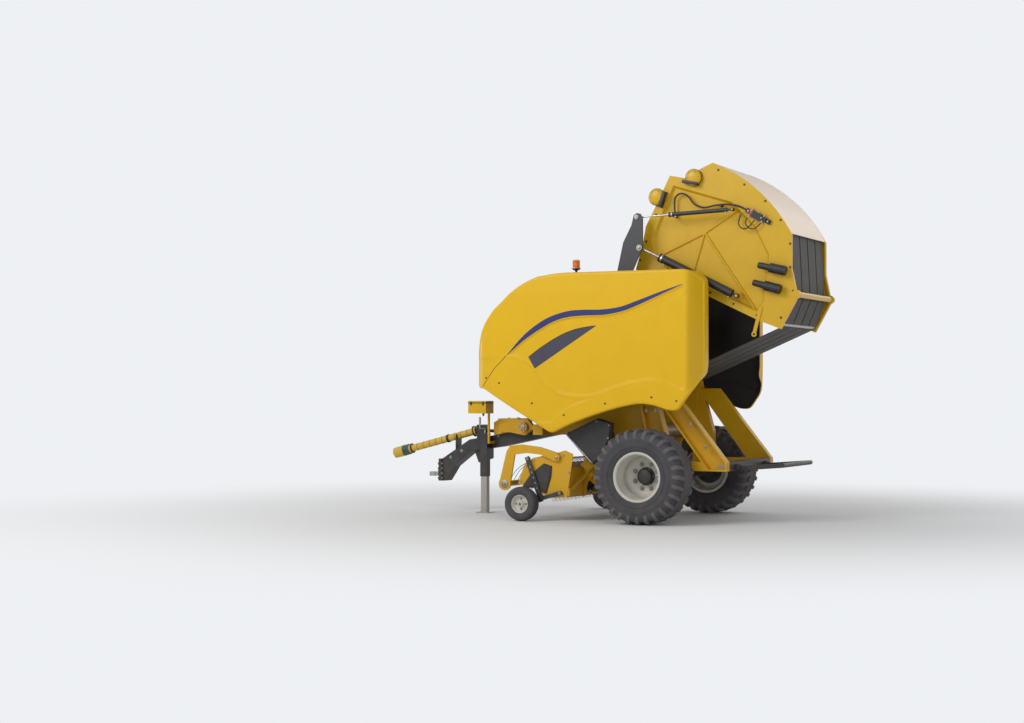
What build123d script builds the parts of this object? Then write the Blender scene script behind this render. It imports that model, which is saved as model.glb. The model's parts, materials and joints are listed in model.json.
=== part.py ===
from build123d import *
import os
from math import asin, atan2, cos, degrees, hypot, pi, radians, sin, tan

# Towed round baler with belts, its tailgate raised as when it has just dropped a bale. Millimetres.
# +Z is up, +X points to the rear and -Y is the machine's left side. The origin lies on the ground
# under the middle of the machine. In side views, x runs back from the main axle and z is height.

# Road wheels and axle
AXLE_X = 1075
TRACK = 2200
TYRE_R = 525
TYRE_W = 500
TREAD_DEPTH = 22
TYRE_LUGS = 28
LUG_L = 46
LUG_FOOT_R = 422
RIM_R = 255
RIM_FLANGE_R = 278
RIM_W = 430
RIM_WALL = 9
DISC_INSET = 95
DISC_T = 14
HUB_R = 100
HUB_CAP_R = 78
HUB_CAP_L = 70
HUB_FLANGE_R = 165
SPINDLE_R = 42
AXLE_BEAM = 120

# Clearances
RUNNING_GAP = 0.5
SEAT_GAP = 0.3

# Bale chamber
CHAMBER_HALF = 610
WALL_T = 8
WALL_OUT = CHAMBER_HALF + WALL_T
ROLLER_R = 55
ROLLER_END = 15
SHAFT_R = 22
BELT_COUNT = 4
BELT_W = 260
BELT_PITCH = 290
BELT_T = 10

# Side frames between the chamber and the tyres
SIDE_FRAME_IN = CHAMBER_HALF + 110
SIDE_FRAME_OUT = SIDE_FRAME_IN + 100
FRAME_SHEET = 12
RAIL_BOTTOM = TYRE_R + AXLE_BEAM / 2
RAIL_H = 100
REAR_TUBE_X = 760
EJECTOR_PIVOT = (REAR_TUBE_X + RAIL_H + 35, 610)
EJECTOR_TIP = (1404, 650)
EJECTOR_HALF = 500
EJECTOR_BAR = 50

# Drawbar and driveline
CROSSMEMBER_X = -1450
CROSSMEMBER_Z = 965
CROSSMEMBER = 120
CROSSMEMBER_HALF = 900
DRAWBAR_HALF = 90
DRAWBAR_KNEE = (-2690, 880)
HITCH_PLATE_X = -3070
HITCH_PLATE_T = 40
EYE_X = -3235
EYE_Z = 450
EYE_R = 55
EYE_BORE_R = 25.5
EYE_T = 50
PTO_JOINT = (-2640, 985)
PTO_END = (-3780, 697)
PTO_TUBE_R = 43
PTO_BELL_R = 68
PTO_REST_X = -2890
INPUT_SHAFT_R = 20
JOINT_PIN_R = 28
JOINT_PIN_HALF = 30
YOKE_R = 32
YOKE_BORE_R = 17.45
YOKE_L = 110
GEARBOX_FRONT = -2330
GEARBOX_REAR = -1960
GEARBOX_TOP = 1140
GEARBOX_HALF = 150
STAND_FRONT = -2600
STAND_REAR = -2500
CROSS_SHAFT = (-1890, 1040)
JACK_X = -2440
JACK_Y = -165
JACK_HALF = 45
JACK_WALL = 6
JACK_TUBE_Z = (440, 940)
JACK_FOOT = 170

# Shields, hood and cover
SHIELD_FACE = 1250
SHIELD_IN = 890
SHIELD_STEP = 14
SHIELD_REAR = 690
SHIELD_T = 8
SHIELD_PIN_Y = 880
COVER_TOP = 2765
SHIELD_PIN_Z = COVER_TOP
SHIELD_TOP = COVER_TOP + 30
HINGE_PIN_R = 10
KNUCKLE_WALL = 8
HOOD_HALF = SHIELD_PIN_Y - HINGE_PIN_R - KNUCKLE_WALL - 7
HOOD_T = 8
HOOD_PIN_Z = COVER_TOP + 17
COVER_FRONT = -1090
COVER_REAR = -450
COVER_T = 12
COVER_HALF = 850

# Tailgate, drawn closed about its hinge and then raised
HINGE_X = -50
HINGE_HEIGHT = 2780
TAILGATE_OPEN = 64.4
TAILGATE_IN = WALL_OUT + 8
TAILGATE_BORDER = TAILGATE_IN + 42
TAILGATE_SHEET = 6
HINGE_BOSS_R = 60
TAILGATE_PIN_R = 30
SKIN_CENTRE = (-391, -205)
SKIN_R = 1800
SKIN_T = 8

# Cylinders beside the tailgate, and the levers that take their rods
CYLINDER_Y = TAILGATE_BORDER + 132
EYE_HALF = 22
LEVER_IN = CYLINDER_Y + EYE_HALF + 4
LEVER_PIN_GAP = 1.5
LEVER_T = 20
LEVER_FOOT = (-340, 2580)
UPPER_LEVER_PIN = (-186, 3420)
LOWER_LEVER_PIN = (-154, 3074)
UPPER_TAILGATE_PIN = (1037, -590)
LOWER_TAILGATE_PIN = (199, -1043)

# Pickup, which swings about the rotor's axis
ROTOR = (-690, 640)
ROTOR_R = 200
FLOOR_R = ROTOR_R + 14
PIVOT_BOSS_R = 90
PICKUP_HALF = 1100
REEL = (-1200, 450)
REEL_TIP_R = 260
REEL_BAR_R = 150
REEL_SHAFT_R = 35
TINE = 7
TINE_PITCH = 105
BAND_COUNT = (2 * PICKUP_HALF - 100) // TINE_PITCH
TINE_BARS = 4
BAND_R = 190
BAND_T = 4
BAND_W = 60
WIND_GUARD_PIVOT = (-1040, 715)
WIND_GUARD_FOOT = (-1690, 410)
WIND_GUARD_IN = PICKUP_HALF + 25
GAUGE_R = 195
GAUGE_W = 150
GAUGE_X = -1430
GAUGE_Y = PICKUP_HALF + 135
GAUGE_RIM_R = 105
GAUGE_SPINDLE_R = 12
GAUGE_ARM_IN = PICKUP_HALF + 40
GAUGE_ARM_T = 12
GAUGE_ARM_PIVOT = (-1000, 320)
GAUGE_STRUT_TOP = (-1400, 700)


def side_view(y=0):
    """A plane across the machine: local x runs back from the axle, local y is height."""
    return Plane(origin=(AXLE_X, y, 0), x_dir=(1, 0, 0), z_dir=(0, -1, 0))


def tailgate_view(y=0):
    """The same plane at the tailgate's hinge, turned with the raised tailgate."""
    angle = radians(TAILGATE_OPEN)
    hinge = (AXLE_X + HINGE_X, y, HINGE_HEIGHT)
    return Plane(origin=hinge, x_dir=(cos(angle), 0, sin(angle)), z_dir=(0, -1, 0))


def raised(point):
    """Where a point of the closed tailgate stands, as x from the axle and height."""
    angle = radians(TAILGATE_OPEN)
    x, z = point
    return (HINGE_X + x * cos(angle) - z * sin(angle), HINGE_HEIGHT + x * sin(angle) + z * cos(angle))


def face_of(points, plane):
    """The flat face inside a closed row of points."""
    with BuildSketch(plane) as sketch:
        with BuildLine():
            Polyline(*points, close=True)
        make_face()
    return sketch.sketch


def disc_at(point, radius, plane):
    """A round face about a point of a plane."""
    with BuildSketch(plane) as sketch:
        with Locations(point):
            Circle(radius)
    return sketch.sketch


def bar_face(start, end, width, plane, overrun=0):
    """The face of a straight bar from one point to another."""
    dx, dz = end[0] - start[0], end[1] - start[1]
    middle = ((start[0] + end[0]) / 2, (start[1] + end[1]) / 2)
    with BuildSketch(plane) as sketch:
        with Locations(Location(middle, degrees(atan2(dz, dx)))):
            Rectangle(hypot(dx, dz) + 2 * overrun, width)
    return sketch.sketch


def inset_face(face, amount):
    """A face drawn in by an amount along its whole edge."""
    return offset(face, amount=-amount, mode=Mode.PRIVATE)


def mirrored(solid):
    """The right-hand copy of a left-hand piece."""
    return mirror(solid, about=Plane.XZ, mode=Mode.PRIVATE)


def write(solid, node):
    """Name a finished piece and write its STEP file."""
    solid.label = node
    export_step(solid, f"parts/{node}.step")


def write_pair(solid, node):
    """Write a left-hand piece and its mirror image as two nodes."""
    write(mirrored(solid), f"{node}_right")
    write(solid, f"{node}_left")


def write_both(solid, node):
    """Write a left-hand piece and its mirror image as one node."""
    write(Compound(solid.solids() + mirrored(solid).solids()), node)


os.makedirs("parts", exist_ok=True)

# Road wheels: hollow tyre, rim with a dished disc inboard of a deep outer well, hub with a long cap
wheel_centre = (AXLE_X, -TRACK / 2, TYRE_R)
wheel_plane = Plane(origin=wheel_centre, x_dir=(0, 1, 0), z_dir=(1, 0, 0))
wheel_axis = Axis(wheel_centre, (0, 1, 0))
bead_half = RIM_W / 2 - RIM_WALL - SEAT_GAP
half, bead, crown = TYRE_W / 2, RIM_R + SEAT_GAP, TYRE_R - TREAD_DEPTH
LUG_SECTION = [(half - 130, crown - 8), (half - 130, TYRE_R), (half - 62, TYRE_R), (half, TYRE_R - 50),
               (half, LUG_FOOT_R), (half - 16, LUG_FOOT_R)]


def tyre_lugs(side, share):
    """Shoulder lugs round one edge of the tyre, begun at a share of their pitch."""
    with BuildPart() as lug:
        section = face_of([(side * across, radius) for across, radius in LUG_SECTION], wheel_plane)
        extrude(section, amount=LUG_L / 2, both=True)
    return [lug.part.rotate(wheel_axis, (index + share) * 360 / TYRE_LUGS) for index in range(TYRE_LUGS)]


with BuildPart() as tyre:
    with BuildSketch(wheel_plane):
        with BuildLine():
            Polyline((bead_half, bead), (bead_half, bead + 24), (half - 8, 350), (half - 8, 430),
                     (half - 60, crown), (0, crown))
            Polyline((bead_half, bead), (bead_half - 40, bead), (half - 45, 420), (0, crown - 20))
            Line((0, crown - 20), (0, crown))
        make_face()
        mirror(about=Plane.YZ)
    revolve(axis=wheel_axis)
    add(tyre_lugs(-1, 0) + tyre_lugs(1, 0.5))
write_pair(tyre.part, "tyre")

with BuildPart() as rim:
    with BuildSketch(wheel_plane):
        half, inner_r = RIM_W / 2, RIM_R - RIM_WALL
        with BuildLine():
            Polyline((-half, inner_r), (-half, RIM_FLANGE_R), (RIM_WALL - half, RIM_FLANGE_R),
                     (RIM_WALL - half, RIM_R), (half - RIM_WALL, RIM_R), (half - RIM_WALL, RIM_FLANGE_R),
                     (half, RIM_FLANGE_R), (half, inner_r), close=True)
        make_face()
        with BuildLine():
            Polyline((DISC_INSET - DISC_T, SPINDLE_R + 30), (DISC_INSET - DISC_T, 190),
                     (DISC_INSET - 60, inner_r), (DISC_INSET - 60 + DISC_T, inner_r),
                     (DISC_INSET, 195), (DISC_INSET, SPINDLE_R + 30), close=True)
        make_face()
    revolve(axis=wheel_axis)
write_pair(rim.part, "rim")

with BuildPart() as hub:
    with BuildSketch(wheel_plane):
        inner, outer = DISC_INSET + SEAT_GAP, DISC_INSET - DISC_T - SEAT_GAP
        bore, boss, cap_end = SPINDLE_R + RUNNING_GAP, SPINDLE_R + 30 - SEAT_GAP, outer - HUB_CAP_L
        with BuildLine():
            Polyline((inner + 60, bore), (inner + 60, HUB_R), (inner + 14, HUB_R), (inner + 14, HUB_FLANGE_R),
                     (inner, HUB_FLANGE_R), (inner, boss), (outer, boss), (outer, HUB_CAP_R),
                     (cap_end, HUB_CAP_R), (cap_end - 14, HUB_CAP_R - 20), (cap_end - 14, 0), (cap_end, 0),
                     (cap_end, bore), close=True)
        make_face()
    revolve(axis=wheel_axis)
write_pair(hub.part, "hub")

with BuildPart() as axle:
    with Locations((AXLE_X, 0, TYRE_R)):
        Box(AXLE_BEAM, 2 * SIDE_FRAME_OUT, AXLE_BEAM)
        Cylinder(SPINDLE_R, TRACK - 2 * DISC_INSET + 2 * HUB_CAP_L, rotation=(90, 0, 0))
write(axle.part, "axle_beam")

# Side frames: pressed channels, a post leaning forward, a leg raked back and the rail below them
RAIL_TOP = RAIL_BOTTOM + RAIL_H
RAIL_END = REAR_TUBE_X + RAIL_H
SIDE_FRAME_BARS = {
    "post": [(-110, RAIL_BOTTOM), (150, RAIL_BOTTOM), (150, 990), (60, 1310), (-90, 1900), (-310, 1900),
             (-160, 1310), (-90, 990)],
    "leg": [(-45, 1500), (215, 1500), (RAIL_END, RAIL_TOP), (RAIL_END, RAIL_BOTTOM), (640, RAIL_BOTTOM)],
    "rail": [(-110, RAIL_BOTTOM), (RAIL_END, RAIL_BOTTOM), (RAIL_END, RAIL_TOP), (-110, RAIL_TOP)],
}
with BuildPart() as side_frame:
    width = SIDE_FRAME_OUT - SIDE_FRAME_IN
    for outline in SIDE_FRAME_BARS.values():
        extrude(face_of(outline, side_view(-SIDE_FRAME_IN)), amount=width)
    for name in ("post", "leg"):
        outer = face_of(SIDE_FRAME_BARS[name], side_view(-SIDE_FRAME_IN - FRAME_SHEET))
        inner = inset_face(outer, FRAME_SHEET * 1.5)
        extrude(inner, amount=width - FRAME_SHEET, mode=Mode.SUBTRACT)
    for x, z in ((-190, 1550), (-230, 1800)):
        with Locations((AXLE_X + x, -(SIDE_FRAME_IN + WALL_OUT) / 2, z)):
            Box(120, SIDE_FRAME_IN - WALL_OUT, 100)
write_both(side_frame.part, "side_frames")

with BuildPart() as rear_tube:
    with Locations((AXLE_X + REAR_TUBE_X + RAIL_H / 2, 0, RAIL_BOTTOM + RAIL_H / 2)):
        Box(RAIL_H, 2 * SIDE_FRAME_IN, RAIL_H)
    for side in (-1, 1):
        brace = [(AXLE_BEAM / 2, 480), (AXLE_BEAM / 2, 540), (REAR_TUBE_X, RAIL_BOTTOM + 40),
                 (REAR_TUBE_X + 60, RAIL_BOTTOM)]
        extrude(face_of(brace, side_view(side * EJECTOR_HALF + 30)), amount=60)
        for lug_y in (side * EJECTOR_HALF - 43, side * EJECTOR_HALF + 31):
            lug = [(RAIL_END, 585), (RAIL_END + 60, 590), (RAIL_END + 60, 640), (RAIL_END, 660)]
            extrude(face_of(lug, side_view(lug_y + 12)), amount=12)
        extrude(disc_at(EJECTOR_PIVOT, 10, side_view(side * EJECTOR_HALF + 43)), amount=86)
write(rear_tube.part, "rear_crossmember")

# Bale ejector: a U-shaped bar that swings on the rear tube
with BuildPart() as ejector:
    for side in (-1, 1):
        arm_plane = side_view(side * EJECTOR_HALF + EJECTOR_BAR / 2)
        extrude(bar_face(EJECTOR_PIVOT, EJECTOR_TIP, EJECTOR_BAR, arm_plane), amount=EJECTOR_BAR)
        extrude(disc_at(EJECTOR_PIVOT, EJECTOR_BAR / 2, arm_plane), amount=EJECTOR_BAR)
        extrude(disc_at(EJECTOR_PIVOT, 10 + RUNNING_GAP, arm_plane), amount=EJECTOR_BAR, mode=Mode.SUBTRACT)
    extrude(disc_at(EJECTOR_TIP, EJECTOR_BAR / 2, side_view()), amount=EJECTOR_HALF + EJECTOR_BAR / 2, both=True)
write(ejector.part, "bale_ejector")

# Fixed side walls of the bale chamber, with the tailgate's pins, the rotor's bosses and an ear each
COVER_UNDER = COVER_TOP - COVER_T
CROSSMEMBER_REAR = CROSSMEMBER_X + CROSSMEMBER
WALL_OUTLINE = [(-5, 1180), (-5, 2680), (20, 2730), (20, 2810), (-20, 2850), (-80, 2850), (-180, COVER_UNDER),
                (COVER_FRONT, COVER_UNDER), (-1400, 2560), (-1700, 2300), (-1780, 1900), (-1780, 1500),
                (-1450, 1300), (CROSSMEMBER_REAR, CROSSMEMBER_Z + CROSSMEMBER),
                (CROSSMEMBER_REAR, CROSSMEMBER_Z), (-900, CROSSMEMBER_Z), (-900, 470), (-800, 395), (-560, 395), (-400, 560)]
with BuildPart() as chamber_wall:
    extrude(face_of(WALL_OUTLINE, side_view(-CHAMBER_HALF)), amount=WALL_T)
    extrude(disc_at((HINGE_X, HINGE_HEIGHT), TAILGATE_PIN_R, side_view(-CHAMBER_HALF)),
            amount=TAILGATE_BORDER + 12 - CHAMBER_HALF)
    extrude(disc_at(ROTOR, PIVOT_BOSS_R, side_view(-WALL_OUT)), amount=40)
write_both(chamber_wall.part, "chamber_walls")

# Rollers across the fixed chamber: x, height, radius. The belts pass under the first.
BELT_ROLLERS = [(-985, 1250, 80), (-1150, 1620, ROLLER_R), (-1120, 2200, ROLLER_R), (-800, 2560, ROLLER_R),
                (-300, 2600, ROLLER_R)]
FLOOR_ROLLERS = [(-480, 860, 100), (-200, 1010, 90)]


def roller_set(rollers, plane, reach):
    """Plain rollers across a plane, each with a shaft that ends just short of the side walls."""
    with BuildPart() as rolls:
        for x, z, radius in rollers:
            extrude(disc_at((x, z), radius, plane), amount=CHAMBER_HALF - ROLLER_END, both=True)
            extrude(disc_at((x, z), SHAFT_R, plane), amount=reach - SEAT_GAP, both=True)
    return rolls.part


write(roller_set(BELT_ROLLERS + FLOOR_ROLLERS, side_view(), CHAMBER_HALF), "front_rollers")


def belt_set(path, plane_of):
    """Side-by-side belts along a path, drawn as an open row of points."""
    solids = []
    for index in range(BELT_COUNT):
        y = (index - (BELT_COUNT - 1) / 2) * BELT_PITCH
        with BuildPart() as belt:
            with BuildSketch(plane_of(y + BELT_W / 2)):
                with BuildLine():
                    Polyline(*path)
                trace(line_width=BELT_T)
            extrude(amount=BELT_W)
        solids += belt.part.solids()
    return Compound(solids)


def run_between(first, second):
    """Heading of a belt from one roller to the next, each given with the side it passes on."""
    (x1, z1, radius1, side1), (x2, z2, radius2, side2) = first, second
    reach1 = (radius1 + BELT_T / 2 + SEAT_GAP) * side1
    reach2 = (radius2 + BELT_T / 2 + SEAT_GAP) * side2
    return atan2(z2 - z1, x2 - x1) - asin((reach1 - reach2) / hypot(x2 - x1, z2 - z1))


def belt_path(rollers):
    """A belt's middle line past a row of rollers: x, height, radius, and 1 to pass left or -1 right."""
    runs = [run_between(*pair) for pair in zip(rollers, rollers[1:])]
    path = []
    for index, (x, z, radius, side) in enumerate(rollers):
        arriving, leaving = runs[max(index - 1, 0)], runs[min(index, len(runs) - 1)]
        turn = (leaving - arriving + pi) % (2 * pi) - pi
        steps = max(1, round(abs(turn) / radians(22)))
        reach = side * (radius + BELT_T / 2 + SEAT_GAP) / cos(turn / steps / 2)
        for step in range(steps):
            heading = arriving + turn * (step + 0.5) / steps
            path.append((x - reach * sin(heading), z + reach * cos(heading)))
    return path


# Tailgate rollers from top to tip: x and height from the closed hinge, radius
TAILGATE_ROLLERS = [(330, 100, ROLLER_R), (1020, 60, ROLLER_R), (1290, -220, ROLLER_R), (1270, -640, ROLLER_R),
                    (1000, -1200, ROLLER_R), (400, -1525, ROLLER_R), (125, -1540, ROLLER_R)]
write(roller_set(TAILGATE_ROLLERS, tailgate_view(), TAILGATE_IN), "tailgate_rollers")
write(belt_set(belt_path([(*roller, 1) for roller in TAILGATE_ROLLERS]), tailgate_view), "belts_tailgate")

# The crossing run leaves the tailgate's last roller and goes under the first roller of the front
tip_roller = (*raised(TAILGATE_ROLLERS[-1][:2]), ROLLER_R, 1)
front_run = belt_path([tip_roller, (*BELT_ROLLERS[0], 1)] + [(*roller, -1) for roller in BELT_ROLLERS[1:]])
crossing = belt_path([tip_roller, (*BELT_ROLLERS[0], 1)])
write(belt_set(crossing, side_view), "belts_crossing")
write(belt_set([crossing[-1]] + front_run[1:], side_view), "belts_front")

# Rotor with star plates, and the curved floor under it
with BuildPart() as rotor:
    extrude(disc_at(ROTOR, 70, side_view()), amount=CHAMBER_HALF - ROLLER_END, both=True)
    extrude(disc_at(ROTOR, SHAFT_R, side_view()), amount=CHAMBER_HALF - SEAT_GAP, both=True)
    for index in range(9):
        y = (index - 4) * 130
        star = []
        for corner in range(8):
            reach = ROTOR_R if corner % 2 == 0 else 75
            star.append(Vector(*ROTOR) + Vector(reach, 0).rotate(Axis.Z, corner * 45 + index * 11))
        extrude(face_of(star, side_view(y + 6)), amount=12)
write(rotor.part, "feed_rotor")

with BuildPart() as feed_floor:
    with BuildSketch(side_view()):
        with BuildLine():
            CenterArc(ROTOR, FLOOR_R, 190, 130)
        trace(line_width=WALL_T)
    extrude(amount=CHAMBER_HALF - SEAT_GAP, both=True)
write(feed_floor.part, "feed_floor")

# Cover over the fixed chamber, with lugs and pins for the side shields and the hood
SHIELD_HINGES = (-1000, -560)
HOOD_HINGES = (-600, 600)
with BuildPart() as top_cover:
    with Locations((AXLE_X + (COVER_FRONT + COVER_REAR) / 2, 0, COVER_TOP - COVER_T / 2)):
        Box(COVER_REAR - COVER_FRONT, 2 * COVER_HALF, COVER_T)
    for side in (-1, 1):
        for x in SHIELD_HINGES:
            with Locations((AXLE_X + x - 46, side * (SHIELD_PIN_Y - 21), SHIELD_PIN_Z - 4)):
                Box(12, 60, 34)
            with Locations((AXLE_X + x, side * SHIELD_PIN_Y, SHIELD_PIN_Z)):
                Cylinder(HINGE_PIN_R, 90, rotation=(0, 90, 0))
    for y in HOOD_HINGES:
        for offset_y in (-36, 36):
            with Locations((AXLE_X + COVER_FRONT + 20, y + offset_y, (COVER_TOP + HOOD_PIN_Z) / 2)):
                Box(60, 12, HOOD_PIN_Z - COVER_TOP + 12)
        with Locations((AXLE_X + COVER_FRONT, y, HOOD_PIN_Z)):
            Cylinder(HINGE_PIN_R - 2, 84, rotation=(90, 0, 0))
write(top_cover.part, "top_cover")

# Side shields: a moulded shell, open on its inner side and along its lower edge
FRONT_CURVE = [(-2040, 1930), (-1925, 2240), (-1697, 2480), (-1444, 2672), (-1194, COVER_TOP + 7)]
SHIELD_REST = [(-946, SHIELD_TOP), (560, SHIELD_TOP), (680, SHIELD_TOP - 95), (680, 1700), (610, 1480),
               (450, 1252), (340, 1252), (190, 1306), (0, 1332), (-270, 1280), (-560, 1195),
               (-850, 1090), (-1060, 990), (-1950, 1500), (-2045, 1500)]
# The shield's face is sunk between the stripe above and the ridge over its skirt
SUNK_FACE = [(-1600, 1870), (-1469, 1847), (-1364, 1772), (-1199, 1603), (-952, 1444), (-648, 1408), (-348, 1481),
             (-150, 1545), (104, 1590), (337, 1517), (480, 1490), (540, 1634), (540, 2225), (500, 2600),
             (279, 2528), (7, 2417), (-190, 2348), (-408, 2312), (-830, 2296), (-1014, 2252), (-1199, 2162),
             (-1406, 2034)]


def shield_outline(plane):
    """The shield's side view as a face."""
    with BuildSketch(plane) as sketch:
        with BuildLine():
            ThreePointArc(*FRONT_CURVE[:3])
            ThreePointArc(*FRONT_CURVE[2:5])
            Polyline(FRONT_CURVE[4], *SHIELD_REST, FRONT_CURVE[0])
        make_face()
    return sketch.sketch


def shield_plan():
    """The shield's plan as a face: it narrows at the front and at its rear edge."""
    inner = 50 - SHIELD_IN
    with BuildSketch(Plane((AXLE_X, 0, 900))) as sketch:
        with BuildLine():
            Polyline((-2100, inner), (-2060, -1080), (-1960, -1190), (-1700, -1240), (-1500, -SHIELD_FACE),
                     (560, -SHIELD_FACE), (SHIELD_REAR, -SHIELD_IN - 40), (SHIELD_REAR, inner), close=True)
        make_face()
    return sketch.sketch


with BuildPart() as shield_hollow:
    inside = inset_face(shield_outline(side_view(-SHIELD_IN)), SHIELD_T)
    extrude(inside, amount=SHIELD_FACE - SHIELD_IN)
    extrude(inside.moved(Location((0, 0, -60))), amount=SHIELD_FACE - SHIELD_IN)
    extrude(inset_face(shield_plan(), SHIELD_T), amount=2200, mode=Mode.INTERSECT)
    sunk_back = inset_face(face_of(SUNK_FACE, side_view(SHIELD_T - SHIELD_FACE)), -SHIELD_T)
    extrude(sunk_back, amount=-SHIELD_STEP, mode=Mode.SUBTRACT)

with BuildPart() as shield:
    extrude(shield_outline(side_view(-SHIELD_IN)), amount=SHIELD_FACE - SHIELD_IN)
    extrude(shield_plan(), amount=2200, mode=Mode.INTERSECT)
    extrude(face_of(SUNK_FACE, side_view(-SHIELD_FACE)), amount=-SHIELD_STEP, taper=45, mode=Mode.SUBTRACT)
    add(shield_hollow.part, mode=Mode.SUBTRACT)
    for x in SHIELD_HINGES:
        with Locations((AXLE_X + x + 5, -SHIELD_PIN_Y, SHIELD_PIN_Z)):
            Cylinder(HINGE_PIN_R + KNUCKLE_WALL, 60, rotation=(0, 90, 0))
            Cylinder(HINGE_PIN_R + RUNNING_GAP, 60, rotation=(0, 90, 0), mode=Mode.SUBTRACT)
        knuckle_out = -SHIELD_PIN_Y - HINGE_PIN_R - KNUCKLE_WALL
        with Locations((AXLE_X + x + 5, knuckle_out + 3, (SHIELD_PIN_Z + SHIELD_TOP) / 2 - 2)):
            Box(60, 6, SHIELD_TOP - SHIELD_PIN_Z - 4)
write_pair(shield.part, "side_shield")

# Front hood over the net box
with BuildPart() as hood:
    with BuildSketch(side_view()):
        with BuildLine():
            HOOD_CURVE = [(x, z - 12) for x, z in FRONT_CURVE]
            Polyline((-2030, 1760), HOOD_CURVE[0])
            ThreePointArc(*HOOD_CURVE[:3])
            ThreePointArc(*HOOD_CURVE[2:])
            Line(HOOD_CURVE[-1], (COVER_FRONT - 15, COVER_TOP - HOOD_T / 2))
        trace(line_width=HOOD_T)
    extrude(amount=HOOD_HALF, both=True)
    for y in HOOD_HINGES:
        with Locations((AXLE_X + COVER_FRONT, y, HOOD_PIN_Z)):
            Cylinder(HINGE_PIN_R + 4, 50, rotation=(90, 0, 0))
        with Locations((AXLE_X + COVER_FRONT - 34, y, HOOD_PIN_Z - 10)):
            Box(56, 50, 8)
        with Locations((AXLE_X + COVER_FRONT - 58, y, HOOD_PIN_Z - 18)):
            Box(10, 50, 24)
        with Locations((AXLE_X + COVER_FRONT, y, HOOD_PIN_Z)):
            Cylinder(HINGE_PIN_R - 2 + RUNNING_GAP, 50, rotation=(90, 0, 0), mode=Mode.SUBTRACT)
write(hood.part, "front_hood")

with BuildPart() as net_box:
    tray = [(-1900, 2050), (-1900, 1560), (-1800, 1500), (-1400, 1500), (-1400, 1512), (-1794, 1512),
            (-1888, 1568), (-1888, 2050)]
    extrude(face_of(tray, side_view()), amount=CHAMBER_HALF - SEAT_GAP, both=True)
write(net_box.part, "net_box")

# Front crossmember, drawbar and hitch
with BuildPart() as crossmember:
    with Locations((AXLE_X + CROSSMEMBER_X + CROSSMEMBER / 2, 0, CROSSMEMBER_Z + CROSSMEMBER / 2)):
        Box(CROSSMEMBER, 2 * CROSSMEMBER_HALF, CROSSMEMBER)
write(crossmember.part, "front_crossmember")


def drawbar_top(x):
    """Height of the drawbar's straight upper edge."""
    fall = (CROSSMEMBER_Z + CROSSMEMBER - DRAWBAR_KNEE[1]) / (CROSSMEMBER_X - DRAWBAR_KNEE[0])
    return DRAWBAR_KNEE[1] + fall * (x - DRAWBAR_KNEE[0])


def pto_height(x):
    """Height of the drive shaft's axis."""
    return PTO_JOINT[1] + (PTO_END[1] - PTO_JOINT[1]) * (x - PTO_JOINT[0]) / (PTO_END[0] - PTO_JOINT[0])


DRAWBAR_OUTLINE = [(CROSSMEMBER_X, CROSSMEMBER_Z + CROSSMEMBER), DRAWBAR_KNEE, (HITCH_PLATE_X, 640),
                   (HITCH_PLATE_X, 370), (-3030, 370), (-2910, 550), (-2660, 740), (-2250, 800),
                   (CROSSMEMBER_X, CROSSMEMBER_Z)]
with BuildPart() as drawbar:
    extrude(face_of(DRAWBAR_OUTLINE, side_view()), amount=DRAWBAR_HALF, both=True)
    with Locations((AXLE_X + HITCH_PLATE_X - HITCH_PLATE_T / 2, 0, 505)):
        Box(HITCH_PLATE_T, 2 * DRAWBAR_HALF + 40, 270)
    tool_box = [(-2640, 748), (-2440, 776), (-2440, 650), (-2580, 600)]
    extrude(face_of(tool_box, side_view()), amount=DRAWBAR_HALF - 25, both=True)
    rest_plane = Plane(origin=(AXLE_X + PTO_REST_X, 0, 0), x_dir=(0, 1, 0), z_dir=(1, 0, 0))
    with BuildSketch(rest_plane):
        rest_z = pto_height(PTO_REST_X)
        with BuildLine():
            Polyline((-70, 700), (-70, rest_z + 20), (70, rest_z + 20), (70, 700), close=True)
        make_face()
        with Locations((0, rest_z)):
            Circle(PTO_TUBE_R + 3, mode=Mode.SUBTRACT)
        with Locations((0, rest_z + 50)):
            Rectangle(2 * PTO_TUBE_R + 6, 100, mode=Mode.SUBTRACT)
    extrude(amount=6, both=True)
write(drawbar.part, "drawbar")

with BuildPart() as eye:
    back = HITCH_PLATE_X - HITCH_PLATE_T
    with Locations((AXLE_X + (back + EYE_X) / 2, 0, EYE_Z)):
        Box(back - EYE_X, 70, EYE_T)
    with Locations((AXLE_X + back - 10, 0, EYE_Z)):
        Box(20, 150, 110)
    with Locations((AXLE_X + EYE_X, 0, EYE_Z)):
        Cylinder(EYE_R, EYE_T)
        Cylinder(EYE_BORE_R, EYE_T, mode=Mode.SUBTRACT)
write(eye.part, "hitch_eye")

# Gearbox on the drawbar, the cross shaft to the left-hand drive, and the stand for the drive shaft
with BuildPart() as gearbox:
    body = [(GEARBOX_FRONT, drawbar_top(GEARBOX_FRONT)), (GEARBOX_REAR, drawbar_top(GEARBOX_REAR)),
            (GEARBOX_REAR, GEARBOX_TOP - 30), (GEARBOX_REAR - 60, GEARBOX_TOP), (GEARBOX_FRONT + 90, GEARBOX_TOP),
            (GEARBOX_FRONT, GEARBOX_TOP - 50)]
    extrude(face_of(body, side_view()), amount=GEARBOX_HALF, both=True)
    web = [(-2230, 980), (-2230, 1075), (-2050, 1120), (-1850, 1130), (-1760, 1030), (-1890, 940), (-2080, 975)]
    extrude(face_of(web, side_view(-GEARBOX_HALF)), amount=60)
    extrude(disc_at(CROSS_SHAFT, 55, side_view(-GEARBOX_HALF)), amount=110)
write(gearbox.part, "gearbox")

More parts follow.
